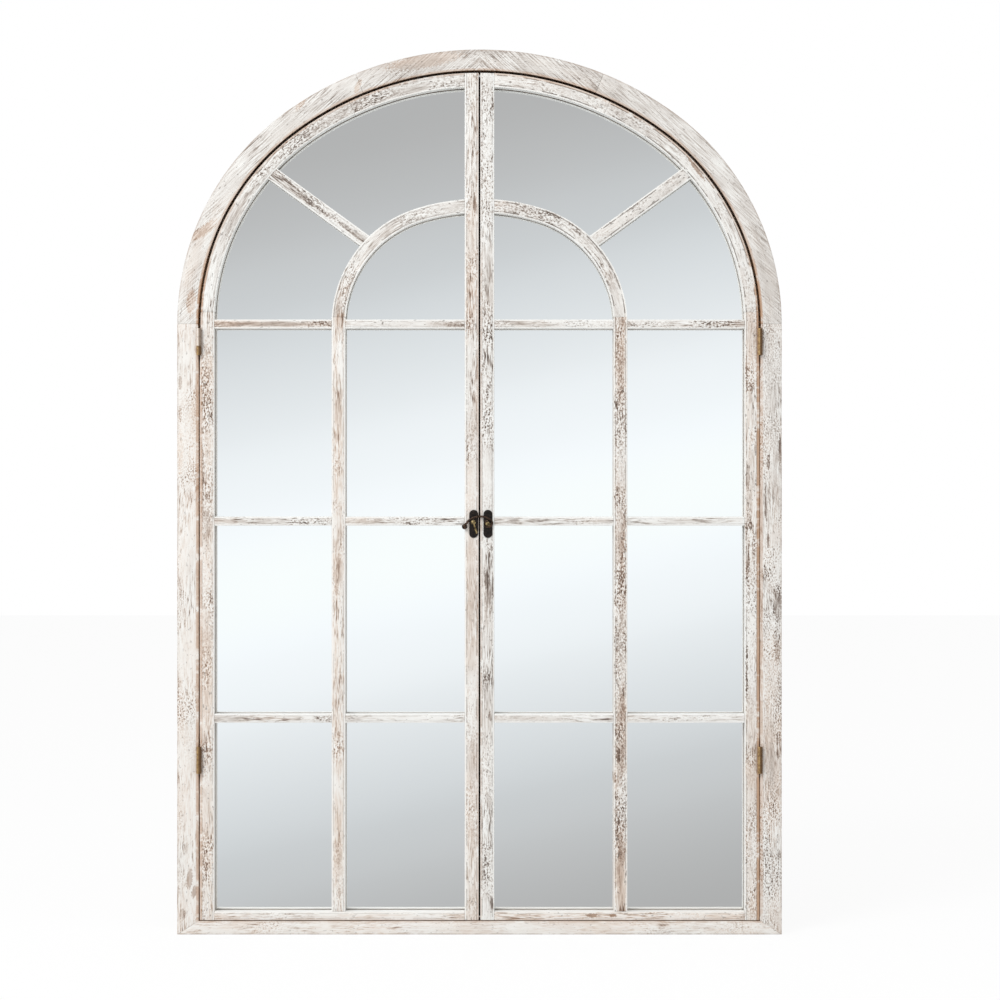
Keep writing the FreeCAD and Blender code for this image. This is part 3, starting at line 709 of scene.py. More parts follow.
def make_whitewash():
    """White wash rubbed back over tan and brown wood, by each board's own grain."""
    wood = Finish("whitewashed_wood_worn")
    grain = wood.attribute("grain")
    across, deep = wood.split(grain)[1:]
    face, depth, gain = wood.split(wood.attribute("board"))
    rub, tan, speck = wood.split(wood.attribute("wear"))
    bare_rim, bare_hollow, bare_back = wood.split(wood.attribute("bare"))
    seed, marks, lines = wood.split(wood.attribute("pattern"))
    place = wood.vector_math("ADD", grain, wood.join(seed * 3.71, seed * 1.37, seed))
    point = wood.object_place()
    x, y, z = wood.split(point)

    broad = wood.pattern(place, (15, 55, 55), detail=3)
    hue = wood.pattern(place, (12, 40, 40), (3.3, 1.1, 0.7))
    streak = wood.pattern(place, (24, 330, 330), detail=3, roughness=0.6)
    fibre = wood.pattern(place, (85, 860, 860), roughness=0.6)
    worm = wood.pattern(place, (480, 780, 780), detail=1, roughness=0.6)
    patch = wood.pattern(place, (21, 45, 45), (5.1, 2.3, 1.9))
    kind = wood.pattern(place, (17, 28, 28), (0.7, 4.1, 3.9), detail=1)
    chip = wood.pattern(place, (60, 20, 20), detail=3, roughness=0.7)
    dash = wood.pattern(place, (230, 520, 520), (1.9, 0.3, 2.7), detail=1)
    # Saw marks run down and outwards on both halves of the arch
    outwards = wood.math("ABSOLUTE", x)
    turned = wood.join(outwards * saw_level - z * saw_fall, outwards * saw_fall + z * saw_level, y + seed)
    scratch = wood.pattern(turned, (40, 760, 300), detail=1, roughness=0.6)

    # Distance to the hollow side, to the nearer side and to the back, and nearness to a side beside a gap
    from_hollow = face - across
    from_side = wood.math("MINIMUM", across, from_hollow)
    from_back = depth - deep

    def by_gap(far, near):
        return bare_rim * wood.between(across, far, near) + bare_hollow * wood.between(from_hollow, far, near)

    def relief(value, weight):
        return (value - 0.5) * weight

    to_bare = by_gap(3.5 * mm, 0.5 * mm)
    painted = 1.0 - wood.larger(to_bare, bare_back)
    # Near the pane sides the wash is whiter: clean wash, and partly a painted highlight that lightens the
    # side faces and arrises against their shade
    clean_edge_and_highlight = wood.between(from_side, 1.8 * mm, 0.5 * mm) * painted
    front_face = wood.larger(wood.between(from_side, 0.3 * mm, 0.8 * mm), bare_back)

    # The skin's own relief, streaked along the grain or wormy: the wash is rubbed out of its low places
    streaked = relief(fibre, 0.75) + relief(streak, 0.45)
    wormy = relief(worm, 0.8) + relief(fibre, 0.4)
    kind = wood.between(kind + relief(speck, 0.5), 0.46, 0.62)
    skin = wood.node("Mix", {0: kind, 2: streaked, 3: wormy})
    skin = skin * (1.0 - marks * 0.7) + relief(scratch, 0.5) * marks
    skin = skin * (gain * (0.35 + wood.between(patch, 0.38, 0.66)))
    skin = skin * (0.25 + front_face * 0.75)

    # How far the wash is rubbed back here: in broad patches, along the middle, less near the pane sides,
    # partly a painted highlight
    level = relief(broad, 0.38) * (1.0 - marks * 0.4) + relief(speck, 0.2)
    middle = wood.math("ABSOLUTE", across / face - 0.5) - relief(streak, 0.6)
    band = wood.between(middle, 0.36, 0.14) * wood.between(hue, 0.36, 0.52)
    level = level + band * rub * 0.2 - clean_edge_and_highlight * 0.16
    # The right half of the arch is greyer than the left, and darker: that darkening is painted shade, as for
    # light from the upper left
    level = level + marks * (0.058 + x * 0.11)

    # Single places
    knot_mask = wood.spots(point, knots, worm)
    tan_spot = wood.spots(point, tan_places, worm)
    thick = wood.spots(point, thick_places, streak)
    level = level + tan_spot * 0.10 + wood.spots(point, worn_places, worm) * 0.22 - thick * 0.03
    skin = skin * (1.0 - thick * 0.7)

    bare = level * 1.45 + (0.46 - skin * 2.1)
    tan = tan - x * marks * 0.6
    warm = tan + relief(hue, 1.6) + (to_bare * 0.5 + tan_spot)
    colour = wood.mix(wood.between(warm, 0.0, 1.0), wood.wash(bare, grey_wash), wood.wash(bare, tan_wash))
    colour = wood.mix(knot_mask * wood.between(skin, 0.3, 0.02), colour, wood.two_tone(worm, knot_wood))

    # Broken dark lines beside the pane-side arrises, and single dark specks
    line_place = from_side + relief(worm, 0.7 * mm)
    line_mask = wood.between(line_place, 2.7 * mm, 2.3 * mm) * wood.between(line_place, 1.3 * mm, 1.7 * mm)
    line_mask = line_mask * wood.between(chip, 0.43, 0.49) * lines
    dash_mask = wood.between(dash, 0.66, 0.71) * speck * front_face * (1.0 - thick)
    dark_mask = wood.larger(line_mask, dash_mask) * 0.85
    colour = wood.over(dark_mask, colour, dark_line)

    # Rubbed outer arrises of the frame
    rim = wood.between(across, 1.9 * mm, 0.6 * mm) * wood.between(chip, 0.36, 0.58)
    rim = rim * wood.between(deep, 4.2 * mm, 1.6 * mm)
    colour = wood.over(rim * bare_back * 0.45, colour, rubbed_rim)

    # Brown arrises along the gaps and unpainted wood in them. Below the arch that wood is paler: painted
    # light that lifts the shade deep in the gap
    below_arch = wood.between(z, 160 * mm, 80 * mm)
    rubbed = by_gap(2.6 * mm, 1.2 * mm) * wood.between(chip, 0.33, 0.5) * (0.4 + below_arch * 0.5)
    colour = wood.mix(rubbed, colour, wood.two_tone(fibre, arris_wood))
    in_gap = by_gap(0.8 * mm, 0.3 * mm) * wood.between(deep, 0.4 * mm, 1.8 * mm)
    gap_wood_and_painted_light = wood.mix(below_arch, wood.two_tone(streak, arch_gap_wood),
                        wood.two_tone(streak, post_gap_wood_and_painted_light))
    colour = wood.mix(in_gap, colour, gap_wood_and_painted_light)

    # Unpainted wood on the frame's back and in its rebate, and a darker brown tone on the doors' backs
    grained = wood.between(streak, 0.3, 0.7)
    in_rebate = wood.between(from_hollow, 7.0 * mm, 6.6 * mm) * wood.between(deep, 14.8 * mm, 15.4 * mm)
    at_back = wood.larger(wood.between(from_back, 1.2 * mm, 0.4 * mm), in_rebate) * bare_back
    unpainted = wood.two_tone(grained, back_wood)
    unpainted = wood.over(wood.between(fibre, 0.52, 0.66) * 0.4, unpainted, back_grain)
    colour = wood.mix(at_back, colour, unpainted)
    at_door_back = wood.between(from_back, 1.0 * mm, 0.4 * mm) * (1.0 - bare_back)
    colour = wood.mix(at_door_back * 0.8, colour, wood.two_tone(grained, door_back_tone))

    wood.set("Specular IOR Level", 0.3)
    wood.bump(skin - dark_mask * 0.08, 0.5, 1.2 * mm)
    return wood.done(colour, 0.58 + wood.between(bare, 0.4, 1.0) * 0.25)


# How the left and right boards are worn: what sets the pattern, rubbed middle, tan wash, rubbed all over,
# saw marks, dark lines by the arrises, relief. More rubbing on the right post and upright bar
# is partly painted shade, as for light from the upper left
wear_and_painted_shade = {
    "post": {-1: (1, 0, 0.55, 0.43, 0.2, 0, 1.05), 1: (3, 0, 0.3, 0.62, 0.2, 0, 1.15)},
    "sill": {1: (11, 0, 0.6, 0.35, 0.2, 0, 0.8)},
    "haunch": {-1: (9, 0, 0.05, 0.55, 1.0, 0, 0.85), 1: (9, 0, 0.12, 0.5, 1.0, 0, 0.55)},
    "crown": {1: (9, 0, 0.05, 0.66, 1.0, 0, 0.75)},
    "hinge_stile": {-1: (20.63, 0.2, 0.65, 0.66, 0, 0.3, 1.0), 1: (21.37, 0.2, 0.4, 0.72, 0, 0.5, 1.15)},
    "top_haunch": {-1: (20.63, 0.3, 0.0, 0.62, 0.2, 0.3, 1.0), 1: (21.37, 0, 0.0, 0.6, 0.2, 0.9, 0.75)},
    "top_crown": {-1: (20.63, 0.4, 0.0, 0.9, 0.2, 0.3, 1.1), 1: (21.37, 0, 0.1, 0.58, 0.2, 0.9, 0.75)},
    "meeting_stile": {-1: (26.63, 0.3, 0.5, 0.6, 0, 0.5, 1.0), 1: (27.37, 0.2, 0.1, 0.62, 0, 0.4, 1.2)},
    "bottom_rail": {-1: (28.63, 0.4, 0.6, 0.28, 0, 0.2, 0.95), 1: (29.37, 0.4, 1.4, 0.48, 0, 0.2, 0.95)},
    "upright_bar": {-1: (30.63, 0.5, 0.7, 0.4, 0, 0.3, 1.0), 1: (31.37, 0.6, 0.6, 0.85, 0, 0.5, 1.15)},
    "inner_haunch": {-1: (30.63, 0.3, 0.3, 0.55, 0.2, 0.6, 1.0), 1: (31.37, 0, 0.1, 0.56, 0.2, 0.9, 0.95)},
    "inner_crown": {-1: (30.63, 0.1, -0.1, 0.8, 0.2, 0.3, 0.65), 1: (31.37, 0, 0.1, 0.86, 0.2, 0.9, 0.85)},
    "spoke": {-1: (46.63, 1.3, 0.1, 0.58, 0, 0.3, 1.0), 1: (47.37, 0, 0.1, 0.77, 0, 0.9, 0.45)},
    "upper_cross_bar": {-1: (32.63, 0.9, 0.4, 0.74, 0, 0.2, 0.75), 1: (33.37, 0.7, 0.3, 0.5, 0, 0.2, 1.0)},
    "middle_cross_bar": {-1: (34.33, 0.5, 0.2, 0.5, 0, 0.2, 1.3), 1: (35.07, 0.6, 0.1, 0.25, 0, 0.2, 0.95)},
    "lower_cross_bar": {-1: (36.03, 0.6, 0.2, 0.4, 0, 0.2, 1.15), 1: (36.77, 0.7, 0.2, 0.25, 0, 0.2, 0.95)},
}

# Which faces are bare wood, and how bare: the rim side, the hollow side, the back
PAINTED = (0, 0, 0)
BARE_RIM = (1, 0, 0)
BARE_HOLLOW_AND_BACK = (0, 1, 1)
BARE_MEETING = (0.35, 0, 0)
BARE_FOOT = (0.3, 0, 0)
BARE_SILL_AND_BACK = (0, 0.3, 1)
bare_posts = {-1: (0, 0.8, 1), 1: (0, 0.5, 1)}
bare_stiles = {-1: (0.6, 0, 0), 1: (1, 0, 0)}


def hanger_recess(side):
    """Cutter for a keyhole hanger's plate."""
    low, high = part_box(sides[side] + "_hanger")
    width = high[0] - low[0]
    lower_end = low[2] + width / 2
    centre = Matrix.Translation(((low[0] + high[0]) / 2, low[1], lower_end))
    bm = bmesh.new()
    bmesh.ops.create_circle(bm, cap_ends=True, radius=width / 2 + recess_slack, segments=recess_sides,
                            matrix=centre @ Matrix.Rotation(math.pi / 2, 4, "X"))
    upper = [vert for vert in bm.verts if vert.co.z > lower_end - merge_slack]
    bmesh.ops.translate(bm, verts=upper, vec=(0, 0, (high[2] - low[2]) - width))
    raised = bmesh.ops.extrude_face_region(bm, geom=bm.faces[:])
    behind = [part for part in raised["geom"] if isinstance(part, bmesh.types.BMVert)]
    bmesh.ops.translate(bm, verts=behind, vec=inwards * recess_reach)
    bmesh.ops.recalc_face_normals(bm, faces=bm.faces)
    return bm


def hanger_pocket(side):
    """Cutter for the pocket behind a keyhole hanger, where the wall screw's head goes."""
    return box_cutter(side, hanger_x - pocket_half, hanger_x + pocket_half, -pocket_depth, mm,
                      pocket_foot, pocket_head)


def make_frame_boards():
    """Posts, sill, haunches and crown of the frame, with the rebate behind."""
    size = (frame_face, -frame_front)
    grain = ArchGrain(frame_arch, 0, frame_face, frame_front)
    arch_grain = ArchGrain(frame_arch, 0, frame_face, frame_front, whole=True)
    crown_start = math.pi / 2 - crown_half_angle
    corners = rebated(frame_arch.section(0, 0, frame_face, frame_front, 0), -rightwards)
    for side, name in sides.items():
        post = sweep(corners, [run(at(0, foot - spring))])
        saw(post, at(half_width, foot), at(-sill_face, -frame_face))
        finish_board(name + "_post", "frame", post, grain, size, bare_posts[side], side,
                     [hanger_recess(side), hanger_pocket(side)],
                     (half_width - frame_face, -gap_shifts[side]))
        haunch = sweep(corners, frame_arch.legs(0, crown_start))
        finish_board(name + "_haunch", "frame", haunch, arch_grain, size, BARE_HOLLOW_AND_BACK, side)

    corners = rebated(frame_arch.section(crown_start, 0, frame_face, frame_front, 0), -at_angle(crown_start))
    crown = sweep(corners, [bend(frame_arch.crown_centre, crown_half_angle * 2, frame_arch.crown)])
    finish_board("crown", "frame", crown, arch_grain, size, BARE_HOLLOW_AND_BACK)

    left_end = at(-half_width, foot)
    corners = rebated(section(left_end, left_end + upwards * sill_face, frame_front, 0), upwards)
    sill = sweep(corners, [run(rightwards * half_width * 2)])
    for side in sides:
        saw(sill, at(side * half_width, foot), at(side * sill_face, frame_face))
    grain = StraightGrain(left_end, rightwards, upwards, frame_front)
    finish_board("sill", "frame", sill, grain, (sill_face, -frame_front), BARE_SILL_AND_BACK)


def make_door_boards(side, name):
    """Stiles, rails and lattice bars of one door."""
    def add(member, bm, grain, face, bare=PAINTED, cutters=(), gap=None):
        finish_board(f"{name}_{member}", name + "_door", bm, grain, (face, door_back - door_front), bare,
                     side, cutters, gap)

    # Hinge stile and curved top rail
    crown_outer = frame_arch.crown - door_inset
    ring_grain = ArchGrain(frame_arch, door_inset, stile_face)
    haunch_outer = haunch_radius - door_inset
    rise = math.asin((stile_head - spring + saw_allowance) / (haunch_outer - stile_face))
    stile = sweep(section(at(door_edge, door_foot), at(door_edge - stile_face, door_foot)),
                  [run(at(0, spring - door_foot)), bend(frame_arch.haunch_centre, rise, haunch_outer)])
    saw(stile, upwards * stile_head, upwards)
    add("hinge_stile", stile, ring_grain, stile_face, bare_stiles[side], gap=(door_edge, gap_shifts[side]))

    joint = math.pi / 2 - rail_joint_angle
    rail = sweep(frame_arch.section(0, door_inset, stile_face), frame_arch.legs(0, joint, door_inset))
    saw(rail, upwards * stile_head, -upwards)
    add("top_haunch", rail, ring_grain, stile_face, BARE_RIM)
    rail = sweep(frame_arch.section(joint, door_inset, stile_face),
                 [bend(frame_arch.crown_centre, rail_joint_angle, crown_outer)])
    saw(rail, rightwards * meeting_back, -rightwards)
    add("top_crown", rail, ring_grain, stile_face, BARE_RIM)

    # Meeting stile and bottom rail
    top = frame_arch.crown_centre.z + math.sqrt(crown_outer ** 2 - meeting_edge ** 2)
    fall = frame_arch.crown_centre.z + math.sqrt(crown_outer ** 2 - meeting_back ** 2) - top
    meeting = sweep(section(at(meeting_edge, door_foot), at(meeting_back, door_foot)),
                    [run(at(0, top + saw_allowance - door_foot))])
    saw(meeting, at(meeting_edge, top), at(-fall, meeting_back - meeting_edge))
    grain = StraightGrain(at(meeting_edge, door_foot), upwards, rightwards)
    add("meeting_stile", meeting, grain, stile_face, BARE_MEETING)

    def add_level(member, low, high, bare=PAINTED, cutters=()):
        bar = sweep(section(at(meeting_back, low), at(meeting_back, high)),
                    [run(rightwards * (door_edge - stile_face - meeting_back))])
        grain = StraightGrain(at(meeting_back, low), rightwards, upwards)
        add(member, bar, grain, high - low, bare, cutters)

    add_level("bottom_rail", door_foot, rail_top, BARE_FOOT)

    # Upright bar and cross bars, lapped over each other
    inner_grain = ArchGrain(inner_arch, 0, bar_face)
    upright = sweep(section(at(bar_reach, rail_top), at(bar_reach - bar_face, rail_top)),
                    [run(at(0, upright_head - rail_top))])
    half = cross_bar_face / 2
    past = cross_bar_face * 1.5
    notches = [box_cutter(side, bar_reach - bar_face - mm, bar_reach + mm, lap_plane, door_back + mm,
                          z - half, z + half) for z in cross_bar_heights]
    add("upright_bar", upright, inner_grain, bar_face, cutters=notches)

    for level, z in zip(("upper", "middle", "lower"), cross_bar_heights):
        notch = box_cutter(side, bar_reach - bar_face, bar_reach, door_front - mm, lap_plane,
                           z - past, z + past)
        add_level(level + "_cross_bar", z - half, z + half, cutters=[notch])

    # Inner arch in two parts
    begin = math.asin((upright_head - spring - saw_allowance) / inner_haunch)
    joint_way = at_angle(inner_joint_angle)
    past_joint = at(-joint_way.z, joint_way.x)
    parts = {"inner_haunch": ((upwards * upright_head, -upwards), (spring_middle, past_joint)),
             "inner_crown": ((spring_middle, -past_joint), (rightwards * meeting_back, -rightwards))}
    for member, cuts in parts.items():
        arch = sweep(inner_arch.section(begin, 0, bar_face), inner_arch.legs(begin, math.pi / 2))
        for cut in cuts:
            saw(arch, *cut)
        add(member, arch, inner_grain, bar_face)

    # Spoke between the two arches
    way = at_angle(spoke_angle)
    across = at(-way.z, way.x)
    half_way = across * spoke_face / 2
    rail_inset = door_inset + stile_face
    near = inner_arch.ray(0, spoke_angle)
    far = frame_arch.ray(rail_inset, spoke_angle)
    start = spring_middle + way * (near - spoke_allowance)
    spoke = sweep(section(start + half_way, start - half_way),
                  [run(way * (far - near + spoke_allowance * 2))])
    for arch, inset, outwards in ((inner_arch, 0, -1), (frame_arch, rail_inset, 1)):
        ends = []
        for hand in sides:
            angle = spoke_angle + hand * spoke_face / 2 / arch.ray(inset, spoke_angle)
            ends.append(spring_middle + at_angle(angle) * arch.ray(inset, angle))
        chord = ends[1] - ends[0]
        saw(spoke, ends[0], at(chord.z, -chord.x) * outwards)
    grain = StraightGrain(spring_middle + way * near + half_way, way, -across)
    add("spoke", spoke, grain, spoke_face)


def add_piece(name, bm, body, node, finish, smooth=True):
    """Make a small piece an object that stands for its node."""
    piece = add_mesh(name, bm)
    mesh = piece.data
    # A copied node's stored normals no longer fit the new faces
    stored = mesh.attributes.get("custom_normal")
    if stored:
        mesh.attributes.remove(stored)
    shade(mesh, smooth)
    mesh.materials.append(finish)
    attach(piece, body)
    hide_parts(node)


def copy_of(node):
    """A copy of a node's mesh to work on, merged and with whole flat faces."""
    bm = bmesh.new()
    bm.from_mesh(frame["nodes"][node].data)
    bmesh.ops.remove_doubles(bm, verts=bm.verts, dist=merge_slack)
    bmesh.ops.dissolve_limit(bm, angle_limit=flat_angle, verts=bm.verts, edges=bm.edges)
    return bm


def make_mirror():
    """Mirror sheet: its silver shows behind clear glass, so its face lies back inside a hidden rim."""
    bm = copy_of("mirror_glass")
    front = min(bm.faces, key=lambda face: face.calc_center_median().y)
    for width in (glass_rim, silver_step):
        bmesh.ops.inset_region(bm, faces=[front], thickness=width, use_even_offset=True)
    bmesh.ops.translate(bm, verts=front.verts, vec=inwards * silver_depth)
    add_piece("mirror_glass_silvered", bm, "frame", "mirror_glass", finishes["mirror"],
              smooth=False)


def make_latch_plate(node, body, x):
    """Latch plate with its front rim rounded, from its node's mesh."""
    bm = copy_of(node)

    def on_rim(vert):
        rise = max(0, abs(vert.co.z - latch_z) - (plate_half_length - plate_half_width))
        reach = math.hypot(vert.co.x - x, rise)
        return abs(vert.co.y - latch_face) < plane_slack and reach > plate_half_width - rim_slack

    rim = [edge for edge in bm.edges if edge.is_manifold and all(on_rim(vert) for vert in edge.verts)]
    round_edges(bm, rim, plate_round)
    add_piece(node + "_rounded", bm, body, node, black_bronze)


def make_hook():
    """Hook of bent wire: a ball, the long curve over both plates, and the eye curled round the rivet."""
    bm = bmesh.new()
    pivot = Vector((hook_plate_x, latch_face - hook_play - wire_radius, latch_z))
    lean = at_angle(arm_lean)
    centre = pivot - lean * arm_reach
    ball = Matrix.Translation(centre + at_angle(arm_end) * arm_radius)
    bmesh.ops.create_circle(bm, cap_ends=True, radius=wire_radius, segments=wire_sides,
                            matrix=ball @ Matrix.Rotation(-arm_end, 4, "Y"))
    last = bm.faces[:]
    curl = pivot + lean * (arm_radius - arm_reach - curl_radius)
    for middle, turn, steps in ((centre, arm_end - arm_lean, arm_steps), (curl, math.pi, curl_steps),
                                (pivot, eye_turn, eye_steps)):
        last = carry(bm, last, cent=middle, axis=inwards, angle=turn, steps=steps)
    bmesh.ops.create_uvsphere(bm, u_segments=ball_sides, v_segments=ball_rings, radius=ball_radius,
                              matrix=ball)
    bmesh.ops.recalc_face_normals(bm, faces=bm.faces)
    add_piece("latch_hook_wire", bm, "hook", "latch_hook", brown_bronze)


def make_silvered_glass():
    """Mirror with a very faint unevenness."""
    glass = Finish("silvered_mirror")
    haze = glass.noise(glass.object_place(), scale=9)
    colour = glass.two_tone(haze, ((251, 253, 253), (253, 254, 254)))
    return glass.done(colour, glass.between(haze, 0.3, 0.8) * 0.012, metallic=1.0)


# Aged metals: dark skin, lighter rubbed places, bright flecks, clouds a metre, roughness
metals = {
    "brown_bronze_hook": ((40, 31, 26), (80, 62, 52), (140, 112, 84), 300, 0.34),
    "dark_brass_screws": ((58, 42, 26), (96, 72, 44), (150, 118, 74), 520, 0.3),
    "zinc_plated_steel": ((158, 160, 160), (182, 184, 184), (208, 209, 207), 120, 0.3),
}


def make_metal(name):
    """Aged metal: a dark skin, lighter rubbed places and fine bright flecks."""
    dark, light, bright, scale, roughness = metals[name]
    metal = Finish(name)
    cloud, fleck = metal.metal_skin(scale, 4, scale * 5)[1:]
    colour = metal.two_tone(metal.between(cloud, 0.38, 0.64), (dark, light))
    colour = metal.over(metal.between(fleck, 0.6, 0.75), colour, bright)
    return metal.as_metal(colour, 0.85, roughness + cloud * 0.2, fleck)


def make_black_bronze():
    """Near-black latch bronze, rubbed golden on the rivet and the peg that stand in front of the plates."""
    bronze = Finish("black_bronze_plates")
    place, cloud, fleck = bronze.metal_skin(420, 3, 1500)
    y = bronze.split(place)[1]
    colour = bronze.two_tone(bronze.between(cloud, 0.4, 0.7), ((17, 14, 12), (46, 34, 27)))
    raised = bronze.between(y, -31.1 * mm, -31.6 * mm) * bronze.between(fleck, 0.4, 0.56)
    golden = bronze.two_tone(bronze.between(cloud, 0.4, 0.62), ((92, 72, 40), (206, 182, 126)))
    return bronze.as_metal(bronze.mix(raised, colour, golden), 0.55, 0.3 + cloud * 0.25, fleck)


def make_aged_brass():
    """Aged hinge brass: tan where hands rub it, brown painted shade on the far half, wash brushed over one
    knuckle.
    """
    brass = Finish("aged_brass_hinges")
    place, cloud, fleck = brass.metal_skin(260, 4, 900)
    x, y, z = brass.split(place)
    # The half of a barrel past its axis is painted dark brown: painted shade, for the side that the light
    # does not reach
    past = (brass.math("ABSOLUTE", x) - hinge_x) * brass.math("SIGN", x)
    brown = brass.between(past + (cloud - 0.5) * (1.6 * mm), -0.8 * mm, 0.4 * mm)
    colour = brass.two_tone(brass.between(cloud, 0.36, 0.62), ((144, 112, 74), (192, 160, 112)))
    colour = brass.mix(brown * 0.9, colour, brass.two_tone(fleck, ((70, 46, 26), (112, 80, 48))))
    # The wash lies on the front of the upper left barrel, above its lowest knuckle
    washed = brass.between(x, 0.0, -100 * mm) * brass.between(z, 33 * mm, 34.5 * mm)
    washed = washed * (1.0 - brown * 0.75) * brass.between(y, -31.6 * mm, -32.7 * mm)
    colour = brass.mix(washed, colour, brass.two_tone(cloud, ((214, 198, 182), (240, 234, 228))))
    return brass.as_metal(colour, (1.0 - washed) * 0.45, 0.36 + cloud * 0.25, fleck)


def make_hardboard():
    """Pressed brown board: fine matted fibres, soft clouds and a few pale scuffs."""
    board = Finish("hardboard_fibres")
    place = board.object_place()
    fibre = board.pattern(place, (900, 900, 420), detail=3)
    mat = board.pattern(place, (420, 900, 900), (0.3, 0.7, 0.1), detail=3)
    cloud = board.noise(place, 9, 4, 0.6)
    scuff = board.pattern(place, (160, 160, 7), detail=3)
    colour = board.two_tone(board.between(fibre, 0.3, 0.7), ((98, 72, 50), (128, 98, 71)))
    colour = board.over(board.between(mat, 0.45, 0.7) * 0.6, colour, (112, 82, 58))
    colour = board.over(board.between(cloud, 0.35, 0.75) * 0.5, colour, (134, 104, 76))
    colour = board.over(board.between(scuff, 0.66, 0.74) * 0.2, colour, (160, 132, 104))
    board.bump(fibre + mat, 0.25, 0.3 * mm)
    return board.done(colour, 0.62 + fibre * 0.25)


def make_felt():
    """Dark felt."""
    felt = Finish("dark_felt")
    fuzz = felt.noise(felt.object_place(), 1400, 3)
    felt.bump(fuzz, 0.5, 0.3 * mm)
    return felt.done(felt.two_tone(fuzz, ((34, 32, 30), (62, 58, 54))), 1.0)


def make_dowel_wood():
    """Plain pale wood of the dowels."""
    wood = Finish("plain_dowel_wood")
    streak = wood.pattern(wood.object_place(), (300, 300, 60), detail=3)
    return wood.done(wood.two_tone(streak, ((190, 156, 116), (222, 194, 156))), 0.7)


def dress_nodes():
    """Give each CAD node that stays its finish, by the slot that the record names."""
    slots = {part["node"]: part["material_slot"] for part in frame["record"]["subparts"]}
    for name, node in frame["nodes"].items():
        finish = finishes.get(slots.get(name))
        if name.endswith("hinge_screws"):
            finish = screw_brass
        if finish:
            node.data.materials.clear()
            node.data.materials.append(finish)


def grey(value):
    """A plain grey, in linear light."""
    return (value, value, value, 1)


# The floor: half its width, how bright it shows, and how it takes light where it is seen and elsewhere
floor_reach = 8
floor_glow = 0.88
floor_seen = grey(0.12)
floor_plain = grey(0.8)


def make_floor():
    """Plain pale floor that shows white and keeps the shadow. The mirror looks through it."""
    bm = bmesh.new()
    bmesh.ops.create_grid(bm, x_segments=1, y_segments=1, size=floor_reach,
                          matrix=Matrix.Translation((0, 0, foot)))
    floor = add_mesh("floor", bm)
    material = bpy.data.materials.new("pale_floor")
    nodes = Nodes(material)
    nodes.tree.nodes.clear()
    glow = nodes.node("Emission", {"Strength": floor_glow})
    matt = nodes.node("BsdfDiffuse", {"Color": floor_seen})
    seen = nodes.node("AddShader", {0: glow, 1: matt})
    plain = nodes.node("BsdfDiffuse", {"Color": floor_plain})
    lit = nodes.node("MixShader", {0: nodes.ray("Camera"), 1: plain, 2: seen})
    clear = nodes.node("BsdfTransparent")
    whole = nodes.node("MixShader", {0: nodes.ray("Glossy"), 1: lit, 2: clear})
    nodes.end("OutputMaterial", whole)
    floor.data.materials.append(material)


# What the mirror shows of the studio: slope of the direction, and how bright it is there
mirror_scale = ((-0.6, 0.9), (-0.42, 0.74), (-0.24, 0.46), (-0.155, 0.44), (-0.12, 0.56), (-0.0975, 0.67),
                (-0.06, 0.86), (-0.035, 0.96), (-0.01, 1.0), (0.015, 0.95), (0.04, 0.86), (0.078, 0.68),
                (0.1025, 0.57), (0.1275, 0.48), (0.15, 0.46), (0.24, 0.48), (0.42, 0.76), (0.6, 0.9))
scale_reach = 0.6
scale_lean = (-0.23, 0, 1)
cool_from, cool_span = 0.45, 0.2
less_red, more_blue = 0.035, 0.025
ambient_light = grey(0.75)
lamp_size = 1.6
lamp_power = 50
lamp_stand = Vector((-1.5, -2.6, 1.9))
lamp_aim = Vector((0, 0, -0.1))


def scale_colour(value):
    """Grey of the studio, a little cooler where it is bright."""
    cool = clamp((value - cool_from) / cool_span)
    return (value * (1 - less_red * cool), value, value * (1 + more_blue * cool), 1)


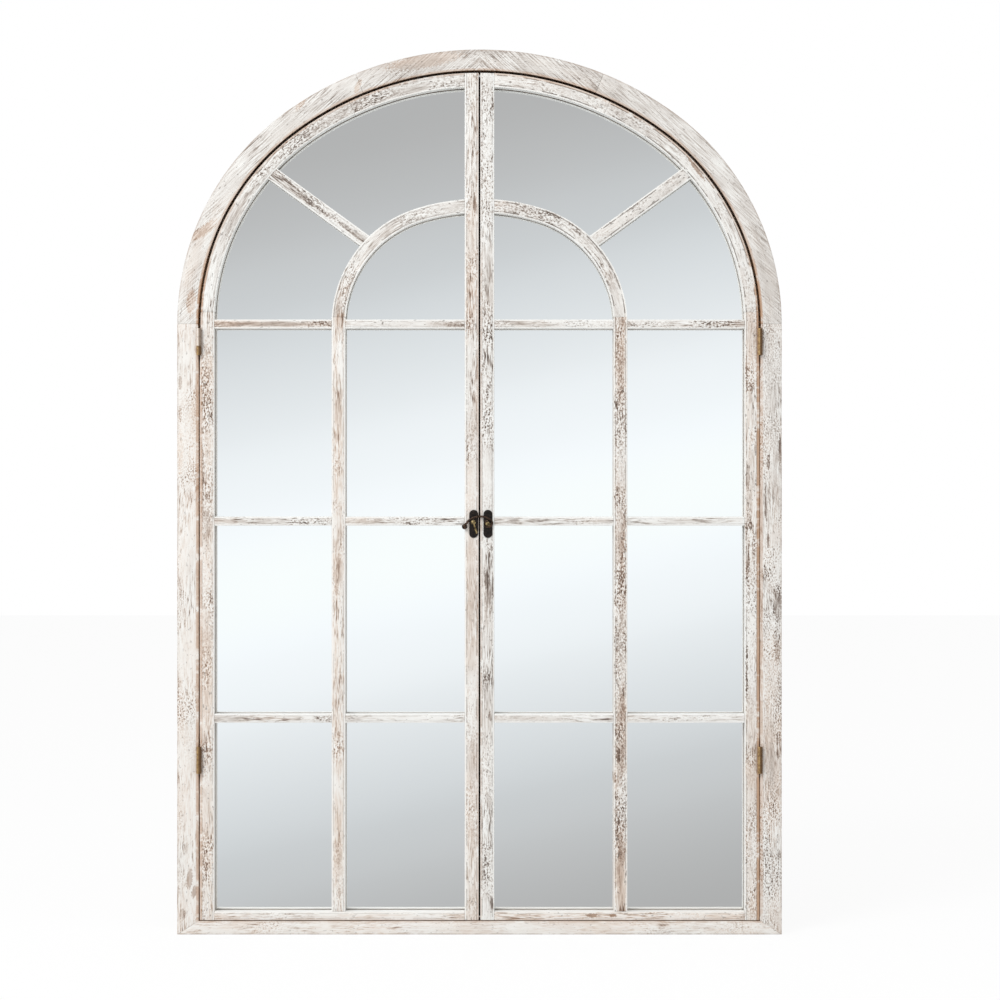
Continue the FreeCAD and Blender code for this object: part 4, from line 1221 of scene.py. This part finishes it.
def make_studio():
    """White surroundings, a soft grey scale for what the mirror shows, and one soft lamp."""
    world = bpy.data.worlds.new("studio")
    bpy.context.scene.world = world
    nodes = Nodes(world)
    nodes.tree.nodes.clear()
    way = nodes.node("TexCoord", output="Generated")
    slope = nodes.vector_math("DOT_PRODUCT", way, scale_lean, "Value")
    span = nodes.node("MapRange", {0: slope, 1: -scale_reach, 2: scale_reach})
    stops = [((slope_at + scale_reach) / (2 * scale_reach), scale_colour(value))
             for slope_at, value in mirror_scale]
    scale = nodes.ramp(span, stops, "CARDINAL")
    lit = nodes.mix(nodes.ray("Glossy"), ambient_light, scale)
    whole = nodes.mix(nodes.ray("Camera"), lit, grey(1))
    nodes.end("OutputWorld", nodes.node("Background", {0: whole}))

    light = bpy.data.lights.new("soft_lamp", "AREA")
    light.shape = "DISK"
    light.size = lamp_size
    light.energy = lamp_power
    lamp = add_object("soft_lamp", light)
    lamp.location = lamp_stand
    lamp.rotation_euler = (lamp_aim - lamp_stand).to_track_quat("-Z", "Y").to_euler()


camera_lens = 103.5
camera_sensor = 36
camera_stand = (0.0207, -2.93, -0.1216)


def make_camera():
    """Camera level with the middle of the mirror, straight in front."""
    data = bpy.data.cameras.new("camera")
    data.lens = camera_lens
    data.sensor_width = camera_sensor
    camera = add_object("camera", data)
    camera.location = camera_stand
    camera.rotation_euler = (math.radians(90), 0, 0)
    bpy.context.scene.camera = camera
    bpy.context.scene.view_settings.view_transform = "Standard"


whitewash = make_whitewash()
make_frame_boards()
for door_side, door_name in sides.items():
    make_door_boards(door_side, door_name)

black_bronze = make_black_bronze()
brown_bronze = make_metal("brown_bronze_hook")
screw_brass = make_metal("dark_brass_screws")
finishes = {
    "mirror": make_silvered_glass(),
    "aged_brass": make_aged_brass(),
    "dark_bronze": black_bronze,
    "steel": make_metal("zinc_plated_steel"),
    "hardboard": make_hardboard(),
    "felt": make_felt(),
    "plain_wood": make_dowel_wood(),
}
make_mirror()
make_latch_plate("keeper_plate", "left_door", keeper_plate_x)
make_latch_plate("hook_plate", "right_door", hook_plate_x)
make_hook()
dress_nodes()

make_floor()
make_studio()
make_camera()
